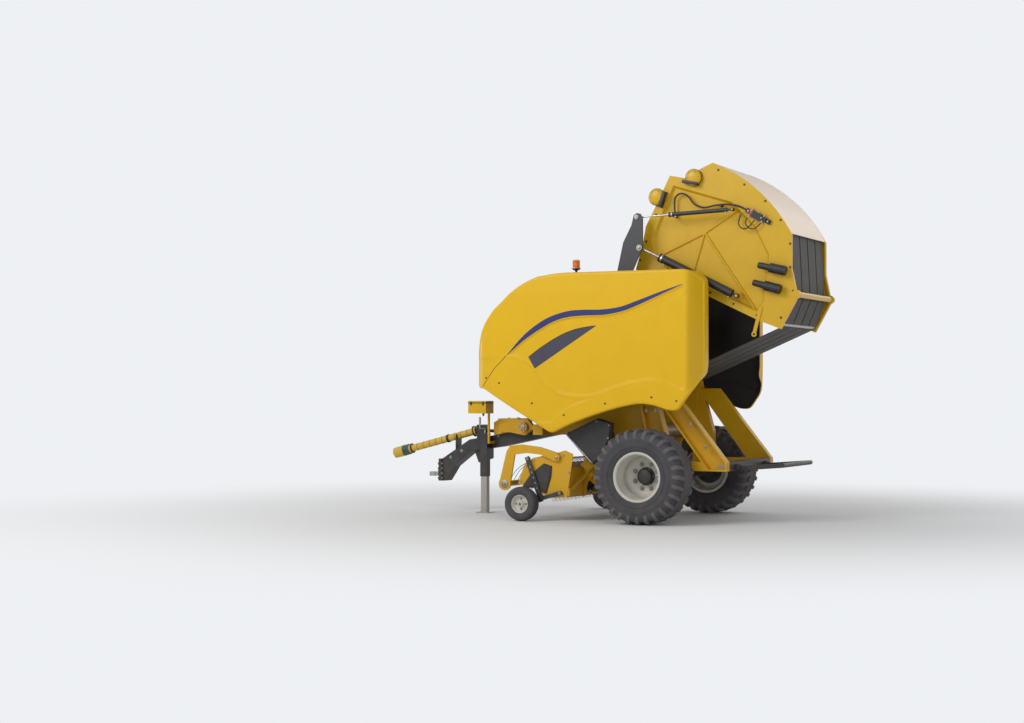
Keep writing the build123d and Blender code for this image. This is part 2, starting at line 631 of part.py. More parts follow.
with BuildPart() as stand:
    block = [(STAND_FRONT, drawbar_top(STAND_FRONT)), (STAND_REAR, drawbar_top(STAND_REAR)), (STAND_REAR, 1060),
             (STAND_FRONT, 1060)]
    extrude(face_of(block, side_view()), amount=75, both=True)
    with Locations((AXLE_X + (PTO_JOINT[0] + GEARBOX_FRONT) / 2, 0, PTO_JOINT[1])):
        Cylinder(INPUT_SHAFT_R, GEARBOX_FRONT - PTO_JOINT[0], rotation=(0, 90, 0))
    with Locations((AXLE_X + PTO_JOINT[0], 0, PTO_JOINT[1])):
        Cylinder(JOINT_PIN_R, 2 * JOINT_PIN_HALF, rotation=(90, 0, 0))
write(stand.part, "drive_stand")

# Drive shaft in its guard: it swings on the joint and its yoke takes the tractor's shaft
dx, dz = PTO_END[0] - PTO_JOINT[0], PTO_END[1] - PTO_JOINT[1]
pto_length = hypot(dx, dz)
joint_point = (AXLE_X + PTO_JOINT[0], 0, PTO_JOINT[1])
pto_side = Plane(origin=joint_point, x_dir=(dx, 0, dz), z_dir=(0, 1, 0))
pto_axis = Axis(joint_point, (dx, 0, dz))
with BuildPart() as pto_guard:
    with BuildSketch(pto_side):
        bell = pto_length - 250
        with BuildLine():
            Polyline((0, 52), (0, 62), (40, PTO_TUBE_R + 6), (60, PTO_TUBE_R), (bell, PTO_TUBE_R),
                     (bell, PTO_BELL_R - 14), (bell + 120, PTO_BELL_R - 8), (bell + 120, PTO_BELL_R),
                     (bell + 250, PTO_BELL_R - 4), (bell + 250, PTO_BELL_R - 10), (bell + 100, PTO_TUBE_R - 6), (bell + 100, 0),
                     (20, 0), (20, PTO_TUBE_R - 8), (0, PTO_TUBE_R - 4), close=True)
        make_face()
    revolve(axis=pto_axis)
    with Locations(joint_point):
        Cylinder(JOINT_PIN_R + RUNNING_GAP, 2 * JOINT_PIN_HALF + 2, rotation=(90, 0, 0), mode=Mode.SUBTRACT)
write(pto_guard.part, "pto_guard")

with BuildPart() as pto_yoke:
    with BuildSketch(pto_side):
        yoke_start = pto_length - 150
        with BuildLine():
            Polyline((yoke_start, 0), (yoke_start, YOKE_R), (yoke_start + 60 + YOKE_L, YOKE_R),
                     (yoke_start + 60 + YOKE_L, YOKE_BORE_R), (yoke_start + 60, YOKE_BORE_R),
                     (yoke_start + 60, 0), close=True)
        make_face()
    revolve(axis=pto_axis)
write(pto_yoke.part, "pto_yoke")

# Parking jack on the drawbar's left side
with BuildPart() as jack_tube:
    tube_low, tube_high = JACK_TUBE_Z
    with Locations((AXLE_X + JACK_X, JACK_Y, (tube_low + tube_high) / 2)):
        Box(2 * JACK_HALF, 2 * JACK_HALF, tube_high - tube_low)
        Box(2 * (JACK_HALF - JACK_WALL), 2 * (JACK_HALF - JACK_WALL), tube_high - tube_low, mode=Mode.SUBTRACT)
    with Locations((AXLE_X + JACK_X, (JACK_Y + JACK_HALF - DRAWBAR_HALF) / 2, 830)):
        Box(100, -DRAWBAR_HALF - JACK_Y - JACK_HALF, 60)
    with Locations((AXLE_X + JACK_X, JACK_Y, tube_high + 8)):
        Box(2 * JACK_HALF + 10, 2 * JACK_HALF + 10, 16)
write(jack_tube.part, "jack_tube")

with BuildPart() as jack_leg:
    leg_half = JACK_HALF - JACK_WALL - RUNNING_GAP
    with Locations((AXLE_X + JACK_X, JACK_Y, 330)):
        Box(2 * leg_half, 2 * leg_half, 640)
    with Locations((AXLE_X + JACK_X, JACK_Y, 6)):
        Box(JACK_FOOT, JACK_FOOT, 12)
write(jack_leg.part, "jack_leg")

# Control box on its post beside the drawbar
with BuildPart() as control_box:
    with Locations((AXLE_X - 2430, -300, 1275)):
        Box(240, 200, 150)
    with Locations((AXLE_X - 2360, -225, 1030)):
        Cylinder(15, 380)
    with Locations((AXLE_X - 2360, -(225 + DRAWBAR_HALF) / 2, 850)):
        Box(30, 225 - DRAWBAR_HALF, 30)
write(control_box.part, "control_box")

# Tailgate walls: pressed sheets with a sunk middle panel, its ribs, the hinge boss and the pin bosses
TAILGATE_OUTLINE = [(-60, -60), (46, -60), (46, -1333), (67, -1612), (459, -1637), (715, -1440), (1058, -1275)]
TAILGATE_TOP = [(1407, -104), (1301, -9), (1127, 122), (1082, 304), (839, 307), (450, 324), (239, 267),
                (-38, 226)]
PANEL = [(334, 195), (1000, 219), (1100, -500), (969, -860), (750, -1140), (250, -1310), (120, -1280),
         (130, -700), (120, -120), (180, 60)]
TAILGATE_RIBS = [[(150, 20), (255, 5), (665, -347), (1060, -600)], [(665, -347), (140, -1240)],
                 [(643, -346), (140, -420)]]
RIB_W = 34
RIB_H = 22
CORNER_TUBE = (480, -1606)
LATCH_ROOT = (193, -1305)
LATCH_TIP = (-112, -1362)
LATCH_T = 12


def skin_point(angle, radius=SKIN_R):
    """A point of the rear skin's arc, in the closed tailgate's view."""
    return (SKIN_CENTRE[0] + radius * cos(radians(angle)), SKIN_CENTRE[1] + radius * sin(radians(angle)))


with BuildPart() as tailgate_wall:
    wall_plane = tailgate_view(-TAILGATE_IN)
    with BuildSketch(wall_plane):
        with BuildLine():
            Polyline(*TAILGATE_OUTLINE)
            ThreePointArc(TAILGATE_OUTLINE[-1], skin_point(-16.5), TAILGATE_TOP[0])
            Polyline(*TAILGATE_TOP, TAILGATE_OUTLINE[0])
        make_face()
    extrude(amount=TAILGATE_BORDER - TAILGATE_IN)
    panel_depth = TAILGATE_BORDER - TAILGATE_IN - TAILGATE_SHEET
    extrude(face_of(PANEL, tailgate_view(-TAILGATE_BORDER)), amount=-panel_depth, taper=35, mode=Mode.SUBTRACT)
    for row in TAILGATE_RIBS:
        for rib_start, rib_end in zip(row, row[1:]):
            rib_plane = tailgate_view(-TAILGATE_IN - TAILGATE_SHEET)
            extrude(bar_face(rib_start, rib_end, RIB_W, rib_plane, overrun=RIB_W / 3), amount=RIB_H, taper=25)
    with BuildSketch(wall_plane):
        with BuildLine():
            Polyline((-40, -40), (66, -80), (66, -1320), (86, -1592), (450, -1615), (705, -1420), (1040, -1262))
            ThreePointArc((1040, -1262), skin_point(-16.5, SKIN_R - 20), (1385, -112))
            Polyline((1385, -112), (1287, -25), (1108, 110), (1065, 284), (839, 287), (452, 303), (244, 247),
                     (-18, 208), (-40, -40))
        make_face()
        with BuildLine():
            panel_back = inset_face(face_of(PANEL, Plane.XY), -panel_depth * 0.75 + TAILGATE_SHEET)
        add(panel_back, mode=Mode.SUBTRACT)
    extrude(amount=TAILGATE_BORDER - TAILGATE_IN - TAILGATE_SHEET, mode=Mode.SUBTRACT)
    extrude(disc_at((0, 0), HINGE_BOSS_R, wall_plane), amount=TAILGATE_BORDER - TAILGATE_IN)
    extrude(disc_at((0, 0), TAILGATE_PIN_R + RUNNING_GAP, wall_plane), amount=TAILGATE_BORDER - TAILGATE_IN,
            mode=Mode.SUBTRACT)
    for pin, pin_r in ((UPPER_TAILGATE_PIN, 10), (LOWER_TAILGATE_PIN, 14)):
        extrude(disc_at(pin, 2.2 * pin_r, wall_plane), amount=CYLINDER_Y - EYE_HALF - SEAT_GAP - TAILGATE_IN)
        extrude(disc_at(pin, pin_r, wall_plane), amount=CYLINDER_Y + EYE_HALF + 10 - TAILGATE_IN)
    for x, z in ((806, 331), (1172, 20)):
        extrude(disc_at((x, z), 92, tailgate_view(-TAILGATE_IN - 4)), amount=70)
    extrude(disc_at(CORNER_TUBE, 48, wall_plane), amount=TAILGATE_BORDER + 8 - TAILGATE_IN)
    latch_plane = tailgate_view(-TAILGATE_BORDER)
    extrude(bar_face(LATCH_ROOT, LATCH_TIP, 40, latch_plane), amount=LATCH_T)
    extrude(disc_at(LATCH_TIP, 28, latch_plane), amount=LATCH_T)
    extrude(disc_at(LATCH_TIP, 13, latch_plane), amount=LATCH_T, mode=Mode.SUBTRACT)
write_both(tailgate_wall.part, "tailgate_walls")

# Rear skin between the tailgate's walls; below it the tailgate is open for the belts
with BuildPart() as tailgate_skin:
    with BuildSketch(tailgate_view()):
        with BuildLine():
            CenterArc(SKIN_CENTRE, SKIN_R - SKIN_T / 2, -36.4, 39.4)
        trace(line_width=SKIN_T)
    extrude(amount=TAILGATE_IN - SEAT_GAP, both=True)
write(tailgate_skin.part, "tailgate_skin")

with BuildPart() as tailgate_tubes:
    for x, z, radius in ((1000, 255, 35), (*CORNER_TUBE, 32)):
        extrude(disc_at((x, z), radius, tailgate_view()), amount=TAILGATE_IN - SEAT_GAP, both=True)
write(tailgate_tubes.part, "tailgate_tubes")

# Oil bottles on the left wall: a wide body and a neck each, in the raised tailgate's own place
with BuildPart() as bottles:
    for row_start, row_end in (((665, -1411), (603, -1119)), ((459, -1443), (406, -1147))):
        dx, dz = row_end[0] - row_start[0], row_end[1] - row_start[1]
        span = hypot(dx, dz)
        base = tailgate_view(-TAILGATE_BORDER - 62)
        origin = base.from_local_coords(Vector(row_start[0], row_start[1], 0))
        direction = base.from_local_coords(Vector(row_end[0], row_end[1], 0)) - origin
        bottle_plane = Plane(origin=origin, x_dir=(0, 1, 0), z_dir=direction)
        with BuildSketch(bottle_plane):
            Circle(52)
        extrude(amount=span * 0.62)
        with BuildSketch(bottle_plane.offset(span * 0.62)):
            Circle(36)
        extrude(amount=span * 0.38)
        middle = (row_start[0] + dx * 0.3, row_start[1] + dz * 0.3)
        clamp_end = (middle[0] + dx * 0.15, middle[1] + dz * 0.15)
        extrude(bar_face(middle, clamp_end, 70, tailgate_view(-TAILGATE_BORDER)), amount=30)
write(bottles.part, "oil_bottles")

# Valve block on the left wall and the oil hose that loops from it to the hinge, held by two clips
HOSE_R = 10
HOSE_Y = TAILGATE_BORDER + HOSE_R + 6
HOSE_ROUTE = [(690, 40), (800, 100), (888, 137), (958, 96), (966, 0), (900, -110), (912, -235), (985, -330),
              (1062, -470), (1094, -600), (1088, -700)]
HOSE_CLIPS = ((695, 43), (1015, -400))
VALVE_TOP = (1088, -700)
VALVE_FOOT = (1068, -1010)
with BuildPart() as hoses:
    route = [tailgate_view(-HOSE_Y).from_local_coords(Vector(x, z, 0)) for x, z in HOSE_ROUTE]
    runs = [(after - before).length for before, after in zip(route, route[1:])]
    radii = []
    for index in range(1, len(route) - 1):
        turn = (route[index] - route[index - 1]).get_angle(route[index + 1] - route[index])
        radii.append(0.45 * min(runs[index - 1], runs[index]) / tan(radians(turn) / 2))
    with BuildLine():
        hose_line = FilletPolyline(*route, radius=radii)
    with BuildSketch(Plane(origin=hose_line @ 0, z_dir=hose_line % 0)):
        Circle(HOSE_R)
    sweep(path=hose_line)
    valve_plane = tailgate_view(-TAILGATE_BORDER - SEAT_GAP)
    extrude(bar_face(VALVE_TOP, VALVE_FOOT, 52, valve_plane), amount=2 * (HOSE_Y - TAILGATE_BORDER))
    extrude(bar_face((1078, -780), (1073, -900), 76, valve_plane), amount=44)
    extrude(disc_at((1070, -950), 15, valve_plane), amount=64)
    for x, z in HOSE_CLIPS:
        clip = bar_face((x - 15, z), (x + 15, z), 30, tailgate_view(-TAILGATE_IN - TAILGATE_SHEET - SEAT_GAP))
        extrude(clip, amount=HOSE_Y + HOSE_R + 3 - TAILGATE_IN - TAILGATE_SHEET)
write(hoses.part, "tailgate_hoses")
print("hose radii", [round(radius) for radius in radii], "length", round(hose_line.length))

# Levers that take the cylinders' rods, each on a cross stub from the chamber wall
LEVER_OUTLINE = [(-400, 2520), (-420, 2830), (-350, 3140), (-250, 3330), (-222, 3440), (-186, 3465),
                 (-140, 3455), (-115, 3400), (-115, 3080), (-230, 2830), (-280, 2520)]
with BuildPart() as lever:
    extrude(face_of(LEVER_OUTLINE, side_view(-LEVER_IN)), amount=LEVER_T)
    extrude(disc_at(LEVER_FOOT, 45, side_view(-WALL_OUT)), amount=LEVER_IN - WALL_OUT)
    for pin, pin_r in ((UPPER_LEVER_PIN, 10), (LOWER_LEVER_PIN, 14)):
        extrude(disc_at(pin, 1.8 * pin_r, side_view(-LEVER_IN - LEVER_T)), amount=8)
write_both(lever.part, "levers")


def cylinder_pieces(tailgate_pin, lever_pin, pin_r, barrel_r, rod_r, barrel_start, barrel_end):
    """Barrel hinged on the tailgate, and rod with its eye on the lever's pin, left side."""
    start = raised(tailgate_pin)
    dx, dz = lever_pin[0] - start[0], lever_pin[1] - start[1]
    span = hypot(dx, dz)
    axis_plane = Plane(origin=(AXLE_X + start[0], -CYLINDER_Y, start[1]), x_dir=(0, 1, 0), z_dir=(dx, 0, dz))
    eye_r = 2 * pin_r
    bore_r = barrel_r - 6
    eye_plane = side_view(-CYLINDER_Y + EYE_HALF)
    with BuildPart() as barrel:
        with BuildSketch(axis_plane.offset(barrel_start)):
            Circle(barrel_r)
        extrude(amount=barrel_end - barrel_start)
        with BuildSketch(axis_plane.offset(barrel_end)):
            Circle(barrel_r + 4)
        extrude(amount=-40)
        extrude(disc_at(start, eye_r, eye_plane), amount=2 * EYE_HALF)
        with BuildSketch(axis_plane):
            Rectangle(1.6 * EYE_HALF, 1.2 * eye_r)
        extrude(amount=barrel_start)
        with BuildSketch(axis_plane.offset(barrel_start + 20)):
            Circle(bore_r)
        extrude(amount=barrel_end - barrel_start - 50, mode=Mode.SUBTRACT)
        with BuildSketch(axis_plane.offset(barrel_end)):
            Circle(rod_r + RUNNING_GAP)
        extrude(amount=-60, mode=Mode.SUBTRACT)
        extrude(disc_at(start, pin_r + RUNNING_GAP, eye_plane), amount=2 * EYE_HALF, mode=Mode.SUBTRACT)
    with BuildPart() as rod:
        with BuildSketch(axis_plane.offset(barrel_start + 30)):
            Circle(rod_r)
        extrude(amount=span - barrel_start - 30 - eye_r / 2)
        with BuildSketch(axis_plane.offset(barrel_start + 30)):
            Circle(bore_r - RUNNING_GAP)
        extrude(amount=25)
        extrude(disc_at(lever_pin, eye_r, eye_plane), amount=2 * EYE_HALF)
        extrude(disc_at(lever_pin, pin_r, eye_plane), amount=LEVER_IN - CYLINDER_Y + EYE_HALF - LEVER_PIN_GAP)
    return barrel.part, rod.part


for name, *sizes in (("upper", UPPER_TAILGATE_PIN, UPPER_LEVER_PIN, 10, 23, 9, 60, 745),
                     ("lower", LOWER_TAILGATE_PIN, LOWER_LEVER_PIN, 14, 46, 14, 60, 1010)):
    barrel, rod = cylinder_pieces(*sizes)
    write_pair(barrel, f"{name}_barrel")
    write_pair(rod, f"{name}_rod")

# Pickup frame: side plates, tubes, screens behind the reel, and arms on the rotor's bosses
PICKUP_PLATE = [(-1540, 410), (-1460, 630), (-1350, 710), (-1070, 765), (-950, 800), (-850, 760), (-890, 500),
                (-930, 270), (-1170, 270), (-1330, 370)]
PICKUP_ARM = [(-690, 765), (-850, 700), (-960, 640), (-960, 590), (-922, 490), (-922, 410), (-955, 325),
              (-968, 290), (-960, 262), (-915, 262), (-880, 420), (-780, 530)]
BAND_TUBES = [(-940, 578, 22), (-945, 292, 20)]
with BuildPart() as pickup_frame:
    for side in (-1, 1):
        plate_y = side * (PICKUP_HALF + 4)
        extrude(face_of(PICKUP_PLATE, side_view(plate_y + 4)), amount=8)
        arm_y = side * (WALL_OUT + 17)
        extrude(face_of(PICKUP_ARM, side_view(arm_y + 10)), amount=20)
        extrude(disc_at(ROTOR, PIVOT_BOSS_R + 40, side_view(arm_y + 10)), amount=20)
        extrude(disc_at(ROTOR, PIVOT_BOSS_R + RUNNING_GAP, side_view(arm_y + 10)), amount=20, mode=Mode.SUBTRACT)
        screen = [(-932, 292), (-924, 292), (-924, 578), (-932, 578)]
        screen_y = side * (WALL_OUT + 27)
        extrude(face_of(screen, side_view(screen_y)), amount=-side * (PICKUP_HALF - WALL_OUT - 27))
        extrude(disc_at(WIND_GUARD_PIVOT, 14, side_view(side * PICKUP_HALF)), amount=-side * 58)
    for x, z, radius in BAND_TUBES:
        extrude(disc_at((x, z), radius, side_view()), amount=PICKUP_HALF, both=True)
write(pickup_frame.part, "pickup_frame")

# Strippers: bent bands round the front of the reel, carried by the frame's two tubes
top_tube, low_tube = BAND_TUBES
half_band = BAND_T / 2 + SEAT_GAP
with BuildPart() as bands:
    for index in range(BAND_COUNT):
        y = (index - (BAND_COUNT - 1) / 2) * TINE_PITCH
        with BuildSketch(side_view(y + BAND_W / 2)):
            with BuildLine():
                Line((top_tube[0], top_tube[1] + top_tube[2] + half_band),
                     (REEL[0], REEL[1] + BAND_R))
                CenterArc(REEL, BAND_R, 90, 180)
                Line((REEL[0], REEL[1] - BAND_R), (low_tube[0], low_tube[1] - low_tube[2] - half_band))
            trace(line_width=BAND_T)
        extrude(amount=BAND_W)
write(bands.part, "stripper_bands")

# Reel: a shaft, three discs and four bars of sprung tines
with BuildPart() as reel:
    extrude(disc_at(REEL, REEL_SHAFT_R, side_view()), amount=PICKUP_HALF - SEAT_GAP, both=True)
    for bar in range(TINE_BARS):
        angle = radians(bar * 360 / TINE_BARS + 20)
        centre = (REEL[0] + REEL_BAR_R * cos(angle), REEL[1] + REEL_BAR_R * sin(angle))
        tip = (REEL[0] + REEL_TIP_R * cos(angle), REEL[1] + REEL_TIP_R * sin(angle))
        extrude(disc_at(centre, 16, side_view()), amount=PICKUP_HALF - 30, both=True)
        for index in range(BAND_COUNT + 1):
            y = (index - BAND_COUNT / 2) * TINE_PITCH
            extrude(bar_face(centre, tip, TINE, side_view(y + TINE / 2)), amount=TINE)
    for y in (-PICKUP_HALF + 45, 0, PICKUP_HALF - 45):
        extrude(disc_at(REEL, REEL_BAR_R + 10, side_view(y + 4)), amount=8)
write(reel.part, "pickup_reel")

with BuildPart() as pickup_cover:
    cover = [(-1490, 370), (-1380, 520), (-1210, 650), (-1110, 620), (-1120, 500), (-1180, 310), (-1330, 370)]
    extrude(face_of(cover, side_view(-PICKUP_HALF - 8)), amount=22)
    chamfer(pickup_cover.faces().sort_by(Axis.Y)[0].edges(), 12)
write(pickup_cover.part, "pickup_drive_cover")

# Wind guard: curved arms with round feet and a roller between the feet
WIND_GUARD_ARM = [(-1762, 400), (-1665, 780), (-1620, 845), (-1470, 862), (-1240, 835), (-1050, 780),
                  (-1000, 740), (-1010, 690), (-1050, 675), (-1240, 750), (-1410, 765), (-1560, 745), (-1618, 420)]
with BuildPart() as wind_guard:
    for side in (-1, 1):
        arm_plane = side_view(side * WIND_GUARD_IN + (0 if side < 0 else 25))
        extrude(face_of(WIND_GUARD_ARM, arm_plane), amount=25)
        extrude(disc_at(WIND_GUARD_FOOT, 74, arm_plane), amount=25)
        extrude(disc_at(WIND_GUARD_PIVOT, 14 + RUNNING_GAP, arm_plane), amount=25, mode=Mode.SUBTRACT)
    extrude(disc_at(WIND_GUARD_FOOT, 32, side_view()), amount=WIND_GUARD_IN, both=True)
write(wind_guard.part, "wind_guard")

# Gauge wheels on their arms and adjusting struts
with BuildPart() as gauge_arm:
    gauge_axle = (GAUGE_X, GAUGE_R)
    strut_foot = (-1235, 240)
    arm_plane = side_view(-GAUGE_ARM_IN)
    with BuildSketch(arm_plane):
        add(bar_face(GAUGE_ARM_PIVOT, gauge_axle, 45, Plane.XY, overrun=18))
        add(bar_face(GAUGE_STRUT_TOP, strut_foot, 55, Plane.XY, overrun=24))
    extrude(amount=GAUGE_ARM_T)
    for point in (GAUGE_ARM_PIVOT, GAUGE_STRUT_TOP):
        extrude(disc_at(point, 20, side_view(-PICKUP_HALF - 8)), amount=GAUGE_ARM_IN - PICKUP_HALF - 8)
    extrude(disc_at(gauge_axle, GAUGE_SPINDLE_R, arm_plane), amount=GAUGE_Y + 55 - GAUGE_ARM_IN)
write_both(gauge_arm.part, "gauge_arms")

gauge_centre = (AXLE_X + GAUGE_X, -GAUGE_Y, GAUGE_R)
gauge_plane = Plane(origin=gauge_centre, x_dir=(0, 1, 0), z_dir=(1, 0, 0))
gauge_axis = Axis(gauge_centre, (0, 1, 0))
with BuildPart() as gauge_tyre:
    with BuildSketch(gauge_plane):
        half = GAUGE_W / 2
        with BuildLine():
            Polyline((-half + 15, GAUGE_RIM_R), (-half, GAUGE_R - 50), (-half + 14, GAUGE_R - 10), (0, GAUGE_R),
                     (half - 14, GAUGE_R - 10), (half, GAUGE_R - 50), (half - 15, GAUGE_RIM_R), close=True)
        make_face()
    revolve(axis=gauge_axis)
write_pair(gauge_tyre.part, "gauge_tyre")

with BuildPart() as gauge_rim:
    with BuildSketch(gauge_plane):
        bore, seat = GAUGE_SPINDLE_R + RUNNING_GAP, GAUGE_RIM_R - SEAT_GAP
        with BuildLine():
            Polyline((-50, bore), (-50, 32), (-12, 38), (-12, 80), (-52, 92), (-52, seat), (52, seat), (52, 92),
                     (12, 80), (12, 38), (50, 32), (50, bore), close=True)
        make_face()
    revolve(axis=gauge_axis)
write_pair(gauge_rim.part, "gauge_rim")

# Drive cover on the chamber's left side, over the rotor's drive
with BuildPart() as drive_cover:
    cover = [(-1010, 990), (-940, 1010), (-600, 1160), (-430, 1110), (-455, 930), (-575, 700), (-680, 640)]
    extrude(face_of(cover, side_view(-920)), amount=80)
    chamfer(drive_cover.faces().sort_by(Axis.Y)[0].edges(), 15)
    extrude(disc_at((-640, 950), 90, side_view(-WALL_OUT)), amount=920 - WALL_OUT)
write(drive_cover.part, "drive_cover")

# Warning beacon on its stalk
BEACON = (AXLE_X - 1020, -640)
with BuildPart() as beacon_base:
    with Locations((*BEACON, COVER_TOP)):
        Cylinder(14, 90, align=(Align.CENTER, Align.CENTER, Align.MIN))
    with Locations((*BEACON, COVER_TOP + 90)):
        Cone(20, 58, 22, align=(Align.CENTER, Align.CENTER, Align.MIN))
write(beacon_base.part, "beacon_base")

with BuildPart() as beacon:
    with Locations((*BEACON, COVER_TOP + 112)):
        Cylinder(46, 105, align=(Align.CENTER, Align.CENTER, Align.MIN))
    chamfer(beacon.edges().filter_by(GeomType.CIRCLE).sort_by(Axis.Z)[-1], 12)
write(beacon.part, "beacon")
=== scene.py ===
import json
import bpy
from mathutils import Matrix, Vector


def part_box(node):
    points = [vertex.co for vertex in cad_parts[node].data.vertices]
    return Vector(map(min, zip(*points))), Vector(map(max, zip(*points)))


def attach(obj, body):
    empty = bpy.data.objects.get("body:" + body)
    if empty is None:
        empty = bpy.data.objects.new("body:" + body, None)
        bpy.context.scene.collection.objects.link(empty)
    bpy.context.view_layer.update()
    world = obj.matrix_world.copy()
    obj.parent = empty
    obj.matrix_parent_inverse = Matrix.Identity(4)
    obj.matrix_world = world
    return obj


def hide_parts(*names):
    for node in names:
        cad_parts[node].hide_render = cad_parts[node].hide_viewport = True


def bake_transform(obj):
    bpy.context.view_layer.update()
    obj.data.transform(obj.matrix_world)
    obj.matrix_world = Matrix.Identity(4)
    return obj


bl_info = {
    "name": "Round baler",
    "version": (1, 0, 0),
    "blender": (4, 5, 0),
    "location": "View3D > Sidebar > Baler",
    "description": "Dresses the frame of a towed round baler, its tailgate raised",
    "category": "Object",
}

from math import atan2, cos, hypot, pi, radians, sin, sqrt

import bmesh
import bpy
from mathutils import Matrix, Vector, geometry

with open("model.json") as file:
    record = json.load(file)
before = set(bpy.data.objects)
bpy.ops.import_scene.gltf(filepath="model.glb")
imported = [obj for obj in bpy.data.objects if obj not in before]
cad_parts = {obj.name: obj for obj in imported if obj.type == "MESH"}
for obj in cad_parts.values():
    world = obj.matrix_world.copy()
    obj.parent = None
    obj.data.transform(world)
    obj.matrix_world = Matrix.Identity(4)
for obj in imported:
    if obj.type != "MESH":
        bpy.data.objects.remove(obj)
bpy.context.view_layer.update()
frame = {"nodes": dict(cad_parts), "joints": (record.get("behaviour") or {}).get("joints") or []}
NODES = frame["nodes"]
JOINTS = {joint["name"]: joint for joint in frame["joints"]}

SIDES = (("left", -1), ("right", 1))
# X runs to the rear, Y to the right and Z up
FRONT, REAR = (-1, 0, 0), (1, 0, 0)
LEFT, ACROSS = (0, -1, 0), (0, 1, 0)
UP, DOWN = (0, 0, 1), (0, 0, -1)
# Points closer than this are one
MERGE_DISTANCE = 1e-6


def middle(node):
    """The middle of a frame node's box."""
    low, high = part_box(node)
    return (low + high) / 2


AXLE = middle("axle_beam")
HINGE = Vector(JOINTS["tailgate_hinge"]["pos_m"])
TAILGATE_OPEN = radians(64.4)


def at(x, z, y=0.0):
    """A point given by its distance behind the main axle, its height and its place across."""
    return Vector((AXLE.x + x, y, z))


def raised(x, z, y=0.0):
    """A point of the closed tailgate, from its hinge, where it stands with the tailgate raised."""
    turned_x = x * cos(TAILGATE_OPEN) - z * sin(TAILGATE_OPEN)
    turned_z = x * sin(TAILGATE_OPEN) + z * cos(TAILGATE_OPEN)
    return Vector((HINGE.x + turned_x, y, HINGE.z + turned_z))


def between(value, table):
    """Straight-line reading of a short table of (place, value) pairs."""
    if value <= table[0][0]:
        return table[0][1]
    for (x1, y1), (x2, y2) in zip(table, table[1:]):
        if value <= x2:
            return y1 + (y2 - y1) * (value - x1) / (x2 - x1)
    return table[-1][1]


def ease(value):
    """0 to 1 with soft ends."""
    value = min(max(value, 0.0), 1.0)
    return value * value * (3 - 2 * value)


# Meshes


def link(mesh, name):
    """A new object at the origin with this mesh."""
    piece = bpy.data.objects.new(name, mesh)
    bpy.context.scene.collection.objects.link(piece)
    return piece


def mesh_from(build, *values):
    """A mesh filled by a function, which gets an empty bmesh and these values."""
    work = bmesh.new()
    build(work, *values)
    bmesh.ops.remove_doubles(work, verts=work.verts, dist=MERGE_DISTANCE)
    bmesh.ops.recalc_face_normals(work, faces=work.faces)
    mesh = bpy.data.meshes.new("mesh")
    work.to_mesh(mesh)
    work.free()
    return mesh


def smooth(mesh, angle):
    """Smooth shading with sharp edges where faces meet at more than an angle in degrees."""
    mesh.polygons.foreach_set("use_smooth", [True] * len(mesh.polygons))
    mesh.set_sharp_from_angle(angle=radians(angle))


def turned_to(axis):
    """The rotation that takes the Z axis to a direction."""
    return Vector(UP).rotation_difference(Vector(axis)).to_matrix().to_4x4()


def add_lathe(work, profile, centre, axis, steps):
    """A closed profile of (distance along the axis, radius) turned round an axis."""
    place = Matrix.Translation(centre) @ turned_to(axis)
    rings = []
    for along, radius in profile:
        if radius < MERGE_DISTANCE:
            rings.append([work.verts.new(place @ Vector((0, 0, along)))])
            continue
        rings.append([work.verts.new(place @ Vector((radius * cos(2 * pi * step / steps),
                                                     radius * sin(2 * pi * step / steps), along)))
                      for step in range(steps)])
    for ring, other in zip(rings, rings[1:] + rings[:1]):
        if len(ring) == 1 and len(other) == 1:
            continue
        for step in range(steps):
            corners = [ring[step % len(ring)], ring[(step + 1) % len(ring)], other[(step + 1) % len(other)],
                       other[step % len(other)]]
            # A ring that is a single point gives the same corner twice
            corners = list(dict.fromkeys(corners))
            if len(corners) > 2:
                work.faces.new(corners)


def add_turned(work, profile, steps):
    """A closed profile turned round the Z axis."""
    add_lathe(work, profile, (0, 0, 0), UP, steps)


def collar(low, high, inner, outer):
    """The profile of a ring, or of a plain disc if its inner radius is 0."""
    return [(low, inner), (low, outer), (high, outer), (high, inner)]


def knob(radius, edge, top_radius, top, foot=0):
    """The profile of a round head with a sloping edge."""
    return [(foot, 0), (foot, radius), (edge, radius), (top, top_radius), (top, 0)]


FITTING_LENGTH = 0.03


def fitting(wide, step, narrow):
    """The profile of a hose fitting, wide up to a step and narrow after it."""
    return [(0, 0), (0, wide), (step, wide), (step, narrow), (FITTING_LENGTH, narrow), (FITTING_LENGTH, 0)]


def mirrored(profile):
    """A profile's points on the other side, in reverse order."""
    return [(-across, radius) for across, radius in reversed(profile)]


def add_rod(work, start, end, radius, steps, cap=0.0):
    """A round bar from point to point, its ends eased by a cap length."""
    start, end = Vector(start), Vector(end)
    length = (end - start).length
    profile = collar(0, length, 0, radius)
    if cap:
        profile = [(0, 0), (0, radius - cap), (cap, radius), (length - cap, radius), (length, radius - cap),
                   (length, 0)]
    add_lathe(work, profile, start, end - start, steps)


def add_block(work, size, place, ease_by):
    """A block of a size, set by a matrix, with its edges eased."""
    cube = bmesh.ops.create_cube(work, size=1.0, matrix=place @ Matrix.Diagonal((*size, 1.0)))
    edges = list({edge for vert in cube["verts"] for edge in vert.link_edges})
    bmesh.ops.bevel(work, geom=edges, offset=ease_by, segments=2, affect="EDGES", profile=0.6)


# A bolt's parts, as shares of its head's height or of its size across
WASHER_HEIGHT, WASHER_RADIUS = 0.18, 0.98
HEAD_EDGE, HEAD_TOP, HEAD_TOP_RADIUS = 0.72, 0.82, 0.86


